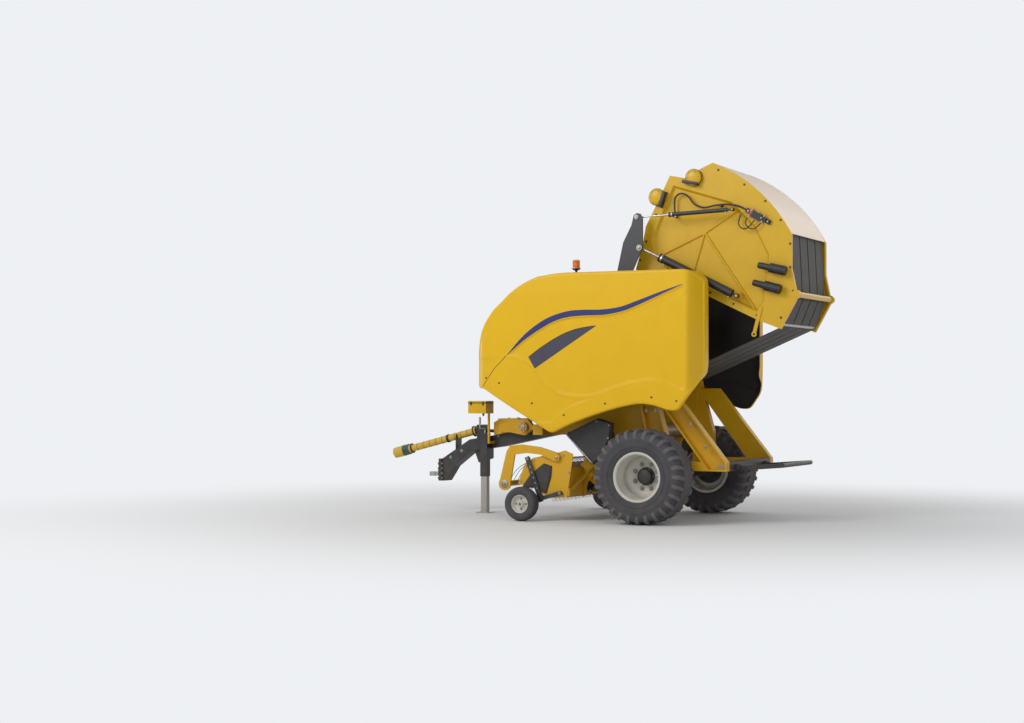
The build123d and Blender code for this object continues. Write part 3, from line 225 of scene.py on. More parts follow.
def add_hexagon(work, across, height, centre, axis, washer=True):
    """A bolt's head with its washer, standing on a surface."""
    foot = 0
    if washer:
        foot = height * WASHER_HEIGHT
        add_lathe(work, collar(0, foot, 0, across * WASHER_RADIUS), centre, axis, 20)
    radius = across / sqrt(3)
    profile = knob(radius, foot + height * HEAD_EDGE, radius * HEAD_TOP_RADIUS, foot + height * HEAD_TOP, foot)
    add_lathe(work, profile, centre, axis, 6)


def soft_line(points, rounds):
    """Points along a soft line through a few points."""
    points = [Vector(point) for point in points]
    line = []
    ends = [points[0] * 2 - points[1]] + points + [points[-1] * 2 - points[-2]]
    for index in range(1, len(ends) - 2):
        before, start, stop, after = ends[index - 1:index + 3]
        for step in range(rounds):
            t = step / rounds
            slope = stop - before
            bend = 2 * before - 5 * start + 4 * stop - after
            twist = 3 * start - before - 3 * stop + after
            line.append(0.5 * (2 * start + slope * t + bend * t * t + twist * t ** 3))
    line.append(points[-1])
    return line


def add_tube(work, points, radius, steps=10, rounds=6):
    """A bent tube along a soft line through a few points."""
    line = soft_line(points, rounds)
    side = (line[1] - line[0]).orthogonal().normalized()
    rings = []
    for index, place in enumerate(line):
        heading = (line[min(index + 1, len(line) - 1)] - line[max(index - 1, 0)]).normalized()
        side = (side - heading * side.dot(heading)).normalized()
        up = heading.cross(side)
        turns = [2 * pi * step / steps for step in range(steps)]
        rings.append([work.verts.new(place + radius * (side * cos(turn) + up * sin(turn))) for turn in turns])
    for ring, other in zip(rings, rings[1:]):
        for step in range(steps):
            work.faces.new([ring[step], ring[(step + 1) % steps], other[(step + 1) % steps], other[step]])
    work.faces.new(rings[0][::-1])
    work.faces.new(rings[-1])


def add_sheet(work, rows, thickness, outward):
    """A thin closed panel from rows of points, thickened along one direction."""
    front = [[work.verts.new(point + outward * thickness) for point in row] for row in rows]
    back = [[work.verts.new(point) for point in row] for row in rows]
    for layer in (front, back):
        for row, other in zip(layer, layer[1:]):
            for index in range(len(row) - 1):
                work.faces.new([row[index], row[index + 1], other[index + 1], other[index]])
    rim = ([(r, 0) for r in range(len(rows))] + [(len(rows) - 1, c) for c in range(1, len(rows[0]))]
           + [(r, len(rows[0]) - 1) for r in range(len(rows) - 2, -1, -1)]
           + [(0, c) for c in range(len(rows[0]) - 2, 0, -1)])
    for (r1, c1), (r2, c2) in zip(rim, rim[1:] + rim[:1]):
        work.faces.new([front[r1][c1], front[r2][c2], back[r2][c2], back[r1][c1]])


# Geometry node trees for what repeats


def new_tree(name, inputs):
    """A geometry node tree with named inputs, each (name, socket type, default)."""
    tree = bpy.data.node_groups.new(name, "GeometryNodeTree")
    tree.interface.new_socket("Geometry", in_out="INPUT", socket_type="NodeSocketGeometry")
    tree.interface.new_socket("Geometry", in_out="OUTPUT", socket_type="NodeSocketGeometry")
    for label, kind, default in inputs:
        socket = tree.interface.new_socket(label, in_out="INPUT", socket_type=kind)
        if default is not None:
            socket.default_value = default
    return tree


def tree_ends(tree, instances):
    """Realise the instances, give them their material and put them out."""
    nodes, links = tree.nodes, tree.links
    realise = nodes.new("GeometryNodeRealizeInstances")
    dress = nodes.new("GeometryNodeSetMaterial")
    out = nodes.new("NodeGroupOutput")
    entry = next(node for node in nodes if node.type == "GROUP_INPUT")
    links.new(instances, realise.inputs[0])
    links.new(realise.outputs[0], dress.inputs["Geometry"])
    links.new(entry.outputs["Material"], dress.inputs["Material"])
    links.new(dress.outputs[0], out.inputs[0])


def ring_tree():
    """Copies of an object round the Z axis, each turned to face outwards."""
    tree = new_tree("Ring of copies", [("Copy", "NodeSocketObject", None), ("Count", "NodeSocketInt", 8),
                                       ("Radius", "NodeSocketFloat", 0.1), ("Start", "NodeSocketFloat", 0.0),
                                       ("Material", "NodeSocketMaterial", None)])
    nodes, links = tree.nodes, tree.links
    entry = nodes.new("NodeGroupInput")
    copy = nodes.new("GeometryNodeObjectInfo")
    circle = nodes.new("GeometryNodeMeshCircle")
    scatter = nodes.new("GeometryNodeInstanceOnPoints")
    index = nodes.new("GeometryNodeInputIndex")
    share = nodes.new("ShaderNodeMath")
    share.operation = "DIVIDE"
    turn = nodes.new("ShaderNodeMath")
    turn.operation = "MULTIPLY"
    turn.inputs[1].default_value = 2 * pi
    heading = nodes.new("ShaderNodeCombineXYZ")
    spin = nodes.new("GeometryNodeTransform")
    start = nodes.new("ShaderNodeCombineXYZ")
    links.new(entry.outputs["Copy"], copy.inputs["Object"])
    links.new(entry.outputs["Count"], circle.inputs["Vertices"])
    links.new(entry.outputs["Radius"], circle.inputs["Radius"])
    links.new(circle.outputs[0], scatter.inputs["Points"])
    links.new(copy.outputs["Geometry"], scatter.inputs["Instance"])
    links.new(index.outputs[0], share.inputs[0])
    links.new(entry.outputs["Count"], share.inputs[1])
    links.new(share.outputs[0], turn.inputs[0])
    links.new(turn.outputs[0], heading.inputs["Z"])
    links.new(heading.outputs[0], scatter.inputs["Rotation"])
    links.new(entry.outputs["Start"], start.inputs["Z"])
    links.new(scatter.outputs[0], spin.inputs["Geometry"])
    links.new(start.outputs[0], spin.inputs["Rotation"])
    tree_ends(tree, spin.outputs[0])
    return tree


def row_tree():
    """Copies of an object in a straight row with equal steps."""
    tree = new_tree("Row of copies", [("Copy", "NodeSocketObject", None), ("Count", "NodeSocketInt", 8),
                                      ("First", "NodeSocketVector", None), ("Step", "NodeSocketVector", None),
                                      ("Material", "NodeSocketMaterial", None)])
    nodes, links = tree.nodes, tree.links
    entry = nodes.new("NodeGroupInput")
    copy = nodes.new("GeometryNodeObjectInfo")
    line = nodes.new("GeometryNodeMeshLine")
    scatter = nodes.new("GeometryNodeInstanceOnPoints")
    links.new(entry.outputs["Copy"], copy.inputs["Object"])
    links.new(entry.outputs["Count"], line.inputs["Count"])
    links.new(entry.outputs["First"], line.inputs["Start Location"])
    links.new(entry.outputs["Step"], line.inputs["Offset"])
    links.new(line.outputs[0], scatter.inputs["Points"])
    links.new(copy.outputs["Geometry"], scatter.inputs["Instance"])
    tree_ends(tree, scatter.outputs[0])
    return tree


def grown(kind, mesh, values):
    """The plain mesh that a tree makes of a mesh, with these input values."""
    tree = TREES[kind]
    template = link(mesh, "template")
    holder = link(bpy.data.meshes.new("holder"), "holder")
    modifier = holder.modifiers.new("copies", "NODES")
    modifier.node_group = tree
    sockets = {item.name: item.identifier for item in tree.interface.items_tree if item.in_out == "INPUT"}
    modifier[sockets["Copy"]] = template
    for label, value in values.items():
        modifier[sockets[label]] = value
    holder.update_tag()
    bpy.context.view_layer.update()
    result = bpy.data.meshes.new_from_object(holder.evaluated_get(bpy.context.evaluated_depsgraph_get()))
    bpy.data.objects.remove(holder)
    bpy.data.objects.remove(template)
    return result


def ring_of(mesh, count, radius, material, start=0.0):
    """A mesh repeated round the Z axis."""
    return grown("ring", mesh, {"Count": count, "Radius": radius, "Start": start, "Material": material})


def row_of(mesh, count, pitch, material):
    """A mesh repeated in a row across the machine, with as many on its left as on its right."""
    first = Vector((0, -(count - 1) / 2 * pitch, 0))
    step = Vector((0, pitch, 0))
    return grown("row", mesh, {"Count": count, "First": first, "Step": step, "Material": material})


TREES = {}

# Pieces


def merged(name, parts, angle):
    """One mesh from meshes that already carry their materials."""
    work = bmesh.new()
    slots = []
    for mesh in parts:
        before = len(work.faces)
        work.from_mesh(mesh)
        work.faces.ensure_lookup_table()
        for face in work.faces[before:]:
            material = mesh.materials[face.material_index]
            if material not in slots:
                slots.append(material)
            face.material_index = slots.index(material)
    result = bpy.data.meshes.new(name)
    work.to_mesh(result)
    work.free()
    for material in slots:
        result.materials.append(material)
    smooth(result, angle)
    return result


def joined(name, parts, body, angle):
    """One piece on a body, from meshes that already carry their materials."""
    piece = link(merged(name, parts, angle), name)
    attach(piece, body)
    return piece


def dressed(mesh, *materials):
    """A mesh with its materials in order."""
    mesh.materials.clear()
    for material in materials:
        mesh.materials.append(material)
    return mesh


def made(finish, build, *values):
    """A mesh filled by a function from these values, and given one finish."""
    return dressed(mesh_from(build, *values), finish_of(finish))


def add_trim(name, body, slot, *parts, angle=35):
    """One piece on a body, each of its parts given by a finish, a function and its values."""
    return joined(name, [made(*part) for part in parts], body, angle)


def moved(mesh, matrix):
    """A mesh moved by a matrix, its faces turned back if the matrix mirrors it."""
    mesh.transform(matrix)
    if matrix.determinant() < 0:
        mesh.flip_normals()
    return mesh


MIRROR = Matrix.Diagonal((1, -1, 1, 1))


def on_side(parts, sign):
    """Meshes drawn on the left, mirrored for the right side."""
    return [moved(mesh, MIRROR) for mesh in parts] if sign > 0 else parts


# Shader node groups, shared by the finishes


def shader_group(name, inputs, outputs):
    """An empty shader node group with named sockets, and its entry and exit."""
    group = bpy.data.node_groups.new(name, "ShaderNodeTree")
    for label, kind, default in inputs:
        socket = group.interface.new_socket(label, in_out="INPUT", socket_type=kind)
        socket.default_value = default
    for label, kind in outputs:
        group.interface.new_socket(label, in_out="OUTPUT", socket_type=kind)
    return group, group.nodes.new("NodeGroupInput"), group.nodes.new("NodeGroupOutput")


def math_node(group, operation, first, second=None, clamp=False):
    """A Math node fed by sockets or numbers."""
    node = group.nodes.new("ShaderNodeMath")
    node.operation = operation
    node.use_clamp = clamp
    for socket, value in zip(node.inputs, (first, second)):
        if value is None:
            continue
        if isinstance(value, (int, float)):
            socket.default_value = value
        else:
            group.links.new(value, socket)
    return node.outputs[0]


def noise_node(group, vector, scale, detail, roughness=0.55):
    """The value of a noise on a vector, with its scale from a socket or a number."""
    node = group.nodes.new("ShaderNodeTexNoise")
    node.inputs["Detail"].default_value = detail
    node.inputs["Roughness"].default_value = roughness
    group.links.new(vector, node.inputs["Vector"])
    if isinstance(scale, (int, float)):
        node.inputs["Scale"].default_value = scale
    else:
        group.links.new(scale, node.inputs["Scale"])
    return node.outputs["Fac"]


def ramp_node(group, value, low, high):
    """A soft step of a value between two levels."""
    node = group.nodes.new("ShaderNodeMapRange")
    node.interpolation_type = "SMOOTHSTEP"
    group.links.new(value, node.inputs["Value"])
    node.inputs["From Min"].default_value, node.inputs["From Max"].default_value = low, high
    return node.outputs["Result"]


def dust_group():
    """Field dust: thick low down and on faces that look up, broken up by noise."""
    group, entry, out = shader_group(
        "Field dust", [("Amount", "NodeSocketFloat", 0.4), ("Reach", "NodeSocketFloat", 1.2)],
        [("Mask", "NodeSocketFloat"), ("Mottle", "NodeSocketFloat")])
    place = group.nodes.new("ShaderNodeTexCoord").outputs["Object"]
    split = group.nodes.new("ShaderNodeSeparateXYZ")
    group.links.new(place, split.inputs[0])
    face = group.nodes.new("ShaderNodeSeparateXYZ")
    group.links.new(group.nodes.new("ShaderNodeNewGeometry").outputs["Normal"], face.inputs[0])
    height = math_node(group, "DIVIDE", split.outputs["Z"], entry.outputs["Reach"])
    low = math_node(group, "SUBTRACT", 1.0, height, True)
    up = math_node(group, "MULTIPLY", ramp_node(group, face.outputs["Z"], 0.2, 1.0), 0.45)
    patches = noise_node(group, place, 6.0, 6.0, 0.62)
    fine = noise_node(group, place, 70.0, 3.0)
    broken = ramp_node(group, math_node(group, "ADD", math_node(group, "MULTIPLY", patches, 0.75),
                                        math_node(group, "MULTIPLY", fine, 0.25)), 0.34, 0.66)
    mask = math_node(group, "MULTIPLY", math_node(group, "ADD", low, up), broken)
    group.links.new(math_node(group, "MULTIPLY", mask, entry.outputs["Amount"], True), out.inputs["Mask"])
    group.links.new(patches, out.inputs["Mottle"])
    return group


def grain_group():
    """A fine even grain, for moulded plastic, sprayed paint and cast iron."""
    group, entry, out = shader_group(
        "Fine grain", [("Scale", "NodeSocketFloat", 300.0)], [("Height", "NodeSocketFloat")])
    place = group.nodes.new("ShaderNodeTexCoord").outputs["Object"]
    group.links.new(noise_node(group, place, entry.outputs["Scale"], 2.0), out.inputs["Height"])
    return group


def scuff_group():
    """Worn patches and long scratches where hay and hands rub the paint away."""
    group, entry, out = shader_group(
        "Scuffs", [("Amount", "NodeSocketFloat", 0.2)], [("Mask", "NodeSocketFloat")])
    place = group.nodes.new("ShaderNodeTexCoord").outputs["Object"]
    stretch = group.nodes.new("ShaderNodeMapping")
    stretch.inputs["Scale"].default_value = (1.0, 6.0, 5.0)
    group.links.new(place, stretch.inputs["Vector"])
    streaks = ramp_node(group, noise_node(group, stretch.outputs[0], 14.0, 8.0, 0.7), 0.58, 0.66)
    patches = ramp_node(group, noise_node(group, place, 3.5, 3.0), 0.5, 0.6)
    both = math_node(group, "MULTIPLY", streaks, patches)
    group.links.new(math_node(group, "MULTIPLY", both, entry.outputs["Amount"], True), out.inputs["Mask"])
    return group


def belt_group():
    """The moulded diamond pattern of a baler belt, by its height."""
    group, entry, out = shader_group(
        "Belt pattern", [("Scale", "NodeSocketFloat", 60.0)], [("Height", "NodeSocketFloat")])
    place = group.nodes.new("ShaderNodeTexCoord").outputs["Object"]
    split = group.nodes.new("ShaderNodeSeparateXYZ")
    group.links.new(place, split.inputs[0])
    along = math_node(group, "ADD", split.outputs["X"], split.outputs["Z"])
    waves = []
    for sign in (1.0, -1.0):
        slant = math_node(group, "ADD", along, math_node(group, "MULTIPLY", split.outputs["Y"], sign))
        turns = math_node(group, "MULTIPLY", entry.outputs["Scale"], 2 * pi)
        wave = math_node(group, "SINE", math_node(group, "MULTIPLY", slant, turns))
        waves.append(ramp_node(group, wave, 0.5, 0.9))
    group.links.new(math_node(group, "MAXIMUM", *waves), out.inputs["Height"])
    return group


GROUPS = {}
COAT_ROUGHNESS = 0.12
DUST_ROUGHNESS = 0.9


def finish_material(name, colour, roughness, metallic=0.0, coat=0.0, dust=0.35, dust_reach=1.3, mottle=0.06,
                    grain=(300.0, 0.02), scuffs=0.0, under=(0.25, 0.24, 0.22), pattern=None, specular=0.5,
                    dust_colour=(0.33, 0.25, 0.15), transmission=0.0):
    """A finish: base colour with mottling, scuffs and dust, roughness that follows them, and fine relief."""
    material = bpy.data.materials.new(name)
    material.use_nodes = True
    tree = material.node_tree
    shader = tree.nodes["Principled BSDF"]
    shader.inputs["Metallic"].default_value = metallic
    shader.inputs["Coat Weight"].default_value = coat
    shader.inputs["Coat Roughness"].default_value = COAT_ROUGHNESS
    shader.inputs["Specular IOR Level"].default_value = specular
    shader.inputs["Transmission Weight"].default_value = transmission

    def placed(group, **values):
        node = tree.nodes.new("ShaderNodeGroup")
        node.node_tree = GROUPS[group]
        for label, value in values.items():
            node.inputs[label].default_value = value
        return node

    def mixed(factor, first, second):
        node = tree.nodes.new("ShaderNodeMix")
        node.data_type = "RGBA"
        tree.links.new(factor, node.inputs["Factor"])
        for socket, value in ((node.inputs["A"], first), (node.inputs["B"], second)):
            if isinstance(value, tuple):
                socket.default_value = (*value, 1.0)
            else:
                tree.links.new(value, socket)
        return node.outputs["Result"]

    soil = placed("dust", Amount=dust, Reach=dust_reach)
    darker = tuple(channel * (1 - 4 * mottle) for channel in colour)
    lighter = tuple(min(1.0, channel * (1 + 1.5 * mottle)) for channel in colour)
    base = mixed(soil.outputs["Mottle"], darker, lighter)
    if scuffs:
        worn = placed("scuffs", Amount=scuffs)
        base = mixed(worn.outputs["Mask"], base, under)
    base = mixed(soil.outputs["Mask"], base, dust_colour)
    tree.links.new(base, shader.inputs["Base Color"])
    rough = tree.nodes.new("ShaderNodeMapRange")
    rough.inputs["To Min"].default_value = roughness
    rough.inputs["To Max"].default_value = DUST_ROUGHNESS
    tree.links.new(soil.outputs["Mask"], rough.inputs["Value"])
    tree.links.new(rough.outputs["Result"], shader.inputs["Roughness"])
    scale, depth = grain
    relief = placed("grain", Scale=scale).outputs["Height"]
    bump = tree.nodes.new("ShaderNodeBump")
    bump.inputs["Strength"].default_value = 1.0
    bump.inputs["Distance"].default_value = depth / 100
    tree.links.new(relief, bump.inputs["Height"])
    if pattern:
        pattern_scale, pattern_depth = pattern
        ribs = tree.nodes.new("ShaderNodeBump")
        ribs.inputs["Distance"].default_value = pattern_depth
        tree.links.new(placed("belt", Scale=pattern_scale).outputs["Height"], ribs.inputs["Height"])
        tree.links.new(bump.outputs["Normal"], ribs.inputs["Normal"])
        bump = ribs
    tree.links.new(bump.outputs["Normal"], shader.inputs["Normal"])
    return material


FINISHES = {
    "yellow": dict(colour=(0.74, 0.44, 0.008), roughness=0.4, coat=0.07, dust=0.12, mottle=0.02,
                   grain=(900.0, 0.012), specular=0.2),
    "yellow_frame": dict(colour=(0.72, 0.39, 0.006), roughness=0.42, coat=0.1, dust=0.4, dust_reach=1.4,
                         mottle=0.06, scuffs=0.3, under=(0.36, 0.15, 0.02), dust_colour=(0.34, 0.2, 0.06),
                         specular=0.3),
    "tailgate_yellow": dict(colour=(0.64, 0.38, 0.006), roughness=0.36, coat=0.15, dust=0.22, dust_reach=1.5,
                            mottle=0.04, scuffs=0.12, under=(0.5, 0.3, 0.04), specular=0.35),
    "cream": dict(colour=(0.79, 0.61, 0.41), roughness=0.45, coat=0.1, dust=0.2, mottle=0.05),
    "black": dict(colour=(0.016, 0.016, 0.018), roughness=0.42, dust=0.28, dust_reach=1.6, mottle=0.1,
                  scuffs=0.18, under=(0.08, 0.045, 0.025), dust_colour=(0.2, 0.16, 0.11)),
    "liner": dict(colour=(0.015, 0.015, 0.017), roughness=0.7, dust=0.25, mottle=0.1),
    "slate": dict(colour=(0.034, 0.036, 0.041), roughness=0.42, dust=0.25, mottle=0.06, grain=(420.0, 0.03)),
    "rim": dict(colour=(0.66, 0.64, 0.58), roughness=0.38, coat=0.15, dust=0.55, dust_reach=1.0, mottle=0.05,
                dust_colour=(0.36, 0.30, 0.22)),
    "steel": dict(colour=(0.42, 0.41, 0.39), roughness=0.34, metallic=1.0, dust=0.4, mottle=0.08, scuffs=0.3,
                  under=(0.22, 0.12, 0.06)),
    "chrome": dict(colour=(0.42, 0.41, 0.40), roughness=0.24, metallic=1.0, dust=0.1, mottle=0.02,
                   grain=(900.0, 0.002)),
    "rust": dict(colour=(0.25, 0.12, 0.05), roughness=0.6, metallic=0.35, dust=0.5, mottle=0.15,
                 grain=(240.0, 0.05), scuffs=0.8, under=(0.4, 0.36, 0.32)),
    "belt": dict(colour=(0.045, 0.04, 0.036), roughness=0.62, dust=0.3, dust_reach=3.6, mottle=0.12,
                 pattern=(38.0, 0.0025), dust_colour=(0.22, 0.18, 0.11)),
    # tyre: the carcass, painted darker than the lugs and ribs, which is painted shade in the gaps between the
    # lugs
    "tyre": dict(colour=(0.075, 0.072, 0.078), roughness=0.75, dust=0.35, dust_reach=1.1, mottle=0.12,
                 grain=(320.0, 0.06), dust_colour=(0.12, 0.105, 0.09), specular=0.3),
    "tread_lighter_than_shaded_gaps": dict(colour=(0.13, 0.123, 0.133), roughness=0.7, dust=0.45, dust_reach=1.1, mottle=0.12,
                  grain=(320.0, 0.06), dust_colour=(0.16, 0.14, 0.12), specular=0.3),
    "guard": dict(colour=(0.72, 0.45, 0.02), roughness=0.42, dust=0.55, dust_reach=1.5, mottle=0.08,
                  grain=(500.0, 0.03)),
    "plastic_black": dict(colour=(0.017, 0.017, 0.019), roughness=0.45, dust=0.22, dust_reach=1.4, mottle=0.08,
                          grain=(650.0, 0.04), dust_colour=(0.2, 0.17, 0.12)),
    "amber": dict(colour=(0.9, 0.24, 0.01), roughness=0.12, coat=0.6, dust=0.05, mottle=0.05,
                  transmission=0.35),
    "stripe_blue": dict(colour=(0.006, 0.012, 0.13), roughness=0.32, coat=0.15, dust=0.03, mottle=0.02),
    "vent_grey": dict(colour=(0.05, 0.048, 0.078), roughness=0.45, dust=0.08, mottle=0.06,
                      grain=(500.0, 0.05)),
    "seam": dict(colour=(0.02, 0.016, 0.01), roughness=0.8, dust=0.1, mottle=0.1),
    "hose": dict(colour=(0.018, 0.018, 0.02), roughness=0.5, dust=0.3, dust_reach=2.0, mottle=0.1,
                 grain=(700.0, 0.03)),
    "red": dict(colour=(0.45, 0.02, 0.015), roughness=0.4, coat=0.2, dust=0.2, mottle=0.08),
    "teal": dict(colour=(0.01, 0.06, 0.07), roughness=0.45, dust=0.4, mottle=0.08),
    "bolt": dict(colour=(0.34, 0.32, 0.27), roughness=0.38, metallic=1.0, dust=0.35, mottle=0.08, scuffs=0.4,
                 under=(0.2, 0.11, 0.05)),
    "dark_bolt": dict(colour=(0.12, 0.085, 0.045), roughness=0.45, metallic=0.6, dust=0.3, mottle=0.1),
    "white": dict(colour=(0.62, 0.6, 0.56), roughness=0.4, coat=0.1, dust=0.4, mottle=0.06),
}
MATERIALS = {}


def finish_of(name):
    """A finish, made the first time that it is asked for."""
    if name not in MATERIALS:
        MATERIALS[name] = finish_material(name, **FINISHES[name])
    return MATERIALS[name]


# Which finish each frame node gets
NODE_FINISHES = {
    "yellow": ["front_hood", "top_cover", "control_box", "side_shield_left", "side_shield_right"],
    "yellow_frame": ["side_frames", "chamber_walls", "gearbox", "pickup_frame", "wind_guard",
                     "front_crossmember"],
    "tailgate_yellow": ["tailgate_walls", "tailgate_tubes"],
    "cream": ["tailgate_skin"],
    "black": ["axle_beam", "rear_crossmember", "drawbar", "drive_stand", "jack_tube", "net_box", "feed_floor",
              "feed_rotor", "bale_ejector", "gauge_arms", "pickup_reel", "upper_barrel_left",
              "upper_barrel_right", "lower_barrel_left", "lower_barrel_right"],
    "slate": ["levers"],
    "steel": ["front_rollers", "tailgate_rollers", "hitch_eye", "jack_leg", "pto_yoke"],
    "chrome": ["upper_rod_left", "upper_rod_right", "lower_rod_left", "lower_rod_right"],
    "rust": ["stripper_bands"],
    "belt": ["belts_front", "belts_tailgate", "belts_crossing"],
    "guard": ["pto_guard"],
    "hose": ["tailgate_hoses"],
    "tyre": ["tyre_left", "tyre_right", "gauge_tyre_left", "gauge_tyre_right"],
    "rim": ["rim_left", "rim_right", "gauge_rim_left", "gauge_rim_right"],
    "amber": ["beacon"],
    "plastic_black": ["hub_left", "hub_right", "oil_bottles", "drive_cover", "pickup_drive_cover",
                      "beacon_base"],
}


# The panel's settings


class BalerColours(bpy.types.PropertyGroup):
    """Colours that a user would change."""

    paint: bpy.props.FloatVectorProperty(
        name="Paint", description="Colour of the shields, the hood and the roof", subtype="COLOR", size=3,
        min=0, max=1, default=FINISHES["yellow"]["colour"])
    stripe: bpy.props.FloatVectorProperty(
        name="Stripe", description="Colour of the stripe along the shields", subtype="COLOR", size=3,
        min=0, max=1, default=FINISHES["stripe_blue"]["colour"])
    floor: bpy.props.FloatVectorProperty(
        name="Floor", description="Colour of the studio floor", subtype="COLOR", size=3, min=0, max=1,
        default=(0.78, 0.78, 0.77))


class BalerSizes(bpy.types.PropertyGroup):
    """Sizes of what is added to the frame."""

    lug_count: bpy.props.IntProperty(
        name="Lugs", description="Shoulder lugs on each side of a road tyre", default=28)
    lug_height: bpy.props.FloatProperty(
        name="Lug height", description="Depth of the tread", unit="LENGTH", default=0.022)
    sheet: bpy.props.FloatProperty(
        name="Shield sheet", description="Thickness of the moulded shields", unit="LENGTH", default=0.006)
    mesh_step: bpy.props.FloatProperty(
        name="Shield mesh", description="Spacing of points on the shields", unit="LENGTH", default=0.018)


# Stage

# The camera stands where the photograph was taken from: metres behind the main axle, across and up
CAMERA_PLACE = (7.461, -19.554, 1.458)
CAMERA_HEADING = (-0.4415, 0.8973, 0.0169)
CAMERA_LENS = 63.28
CAMERA_REACH = 500
SENSOR_WIDTH = 36.0
# Each lamp: name, metres behind the axle, height, metres across, size, power
LAMPS = (("key", -6.0, 9.0, -12.0, 7.0, 860), ("fill", 9.0, 6.0, -13.0, 9.0, 330),
         ("back", 4.0, 9.0, 11.0, 8.0, 260), ("front", -12.0, 5.0, 3.0, 6.0, 220))
LAMP_TARGET = (-0.4, 1.6)
BACKGROUND_COLOUR = (0.93, 0.95, 0.98, 1)
# How bright the world is for the camera and in reflections, and as a light
BACKGROUND_LEVEL, WORLD_LEVEL = 0.92, 0.42
FLOOR_RADIUS = 900.0
# Between these distances the floor turns into the background
FLOOR_FADE = (2.6, 9.5)


def add_camera(scene):
    """The camera at the photograph's viewing angle."""
    lens = bpy.data.cameras.new("photo_camera")
    lens.lens = CAMERA_LENS
    lens.sensor_width = SENSOR_WIDTH
    lens.clip_end = CAMERA_REACH
    camera = bpy.data.objects.new("photo_camera", lens)
    behind, across, height = CAMERA_PLACE
    camera.location = at(behind, height, across)
    camera.rotation_euler = Vector(CAMERA_HEADING).to_track_quat("-Z", "Y").to_euler()
    scene.collection.objects.link(camera)
    scene.camera = camera


def add_lamps(scene):
    """Soft round lamps that look at the middle of the machine."""
    for name, behind, height, across, size, power in LAMPS:
        light = bpy.data.lights.new(name, "AREA")
        light.shape = "DISK"
        light.size = size
        light.energy = power
        lamp = bpy.data.objects.new(name, light)
        lamp.location = at(behind, height, across)
        lamp.rotation_euler = (at(*LAMP_TARGET) - lamp.location).to_track_quat("-Z", "Y").to_euler()
        scene.collection.objects.link(lamp)


def add_world(scene):
    """A pale world, bright for the camera and in reflections and dimmer as a light."""
    world = bpy.data.worlds.new("studio")
    scene.world = world
    world.use_nodes = True
    nodes, links = world.node_tree.nodes, world.node_tree.links
    background = nodes["Background"]
    path = nodes.new("ShaderNodeLightPath")
    seen = nodes.new("ShaderNodeMath")
    seen.operation = "MAXIMUM"
    links.new(path.outputs["Is Camera Ray"], seen.inputs[0])
    links.new(path.outputs["Is Glossy Ray"], seen.inputs[1])
    level = nodes.new("ShaderNodeMapRange")
    level.inputs["To Min"].default_value = WORLD_LEVEL
    level.inputs["To Max"].default_value = BACKGROUND_LEVEL
    links.new(seen.outputs[0], level.inputs["Value"])
    links.new(level.outputs["Result"], background.inputs["Strength"])
    background.inputs["Color"].default_value = BACKGROUND_COLOUR


def floor_material(colour):
    """Pale floor paint that turns into the background far from the machine, so that no horizon shows."""
    pale = bpy.data.materials.new("studio_floor")
    pale.use_nodes = True
    nodes, links = pale.node_tree.nodes, pale.node_tree.links
    near = nodes["Principled BSDF"]
    near.inputs["Base Color"].default_value = (*colour, 1)
    near.inputs["Roughness"].default_value = 0.9
    far = nodes.new("ShaderNodeEmission")
    far.inputs["Color"].default_value = BACKGROUND_COLOUR
    far.inputs["Strength"].default_value = BACKGROUND_LEVEL
    reach = nodes.new("ShaderNodeVectorMath")
    reach.operation = "LENGTH"
    links.new(nodes.new("ShaderNodeTexCoord").outputs["Object"], reach.inputs[0])
    fade = nodes.new("ShaderNodeMapRange")
    fade.interpolation_type = "SMOOTHSTEP"
    fade.inputs["From Min"].default_value, fade.inputs["From Max"].default_value = FLOOR_FADE
    links.new(reach.outputs["Value"], fade.inputs["Value"])
    blend = nodes.new("ShaderNodeMixShader")
    links.new(fade.outputs["Result"], blend.inputs[0])
    links.new(near.outputs[0], blend.inputs[1])
    links.new(far.outputs[0], blend.inputs[2])
    links.new(blend.outputs[0], nodes["Material Output"].inputs["Surface"])
    return pale


def add_ground(work):
    """A wide flat disc."""
    bmesh.ops.create_circle(work, cap_ends=True, segments=96, radius=FLOOR_RADIUS)


class BALER_OT_stage(bpy.types.Operator):
    """Sets the camera, the lamps, the world and the pale floor"""

    bl_idname = "baler.stage"
    bl_label = "Stage"

    def execute(self, context):
        scene = context.scene
        scene.view_settings.view_transform = "Standard"
        add_camera(scene)
        add_lamps(scene)
        add_world(scene)
        floor = link(mesh_from(add_ground), "studio_floor")
        floor.data.materials.append(floor_material(scene.baler_colours.floor))
        return {"FINISHED"}


class BALER_OT_finishes(bpy.types.Operator):
    """Gives every frame node its finish"""

    bl_idname = "baler.finishes"
    bl_label = "Finishes"

    def execute(self, context):
        colours = context.scene.baler_colours
        FINISHES["yellow"]["colour"] = tuple(colours.paint)
        FINISHES["stripe_blue"]["colour"] = tuple(colours.stripe)
        for finish, names in NODE_FINISHES.items():
            for name in names:
                mesh = dressed(NODES[name].data, finish_of(finish))
                for polygon in mesh.polygons:
                    polygon.material_index = 0
        return {"FINISHED"}


# Road wheels: sections are (across, radius), drawn about Z with +Z towards the machine's side

TYRE_RADIUS = 0.525
TYRE_STEPS = 112
# The tyre's wall from its bead to its shoulder, and its inside from bead to bead
TYRE_WALL = [(0.206, 0.2555), (0.208, 0.275), (0.222, 0.29), (0.238, 0.318), (0.248, 0.36), (0.25, 0.4),
             (0.247, 0.44), (0.239, 0.468), (0.222, 0.489)]
TYRE_INSIDE = [(-0.206, 0.2555), (-0.17, 0.262), (-0.2, 0.36), (-0.18, 0.45), (0, 0.475), (0.18, 0.45),
               (0.2, 0.36), (0.17, 0.262)]
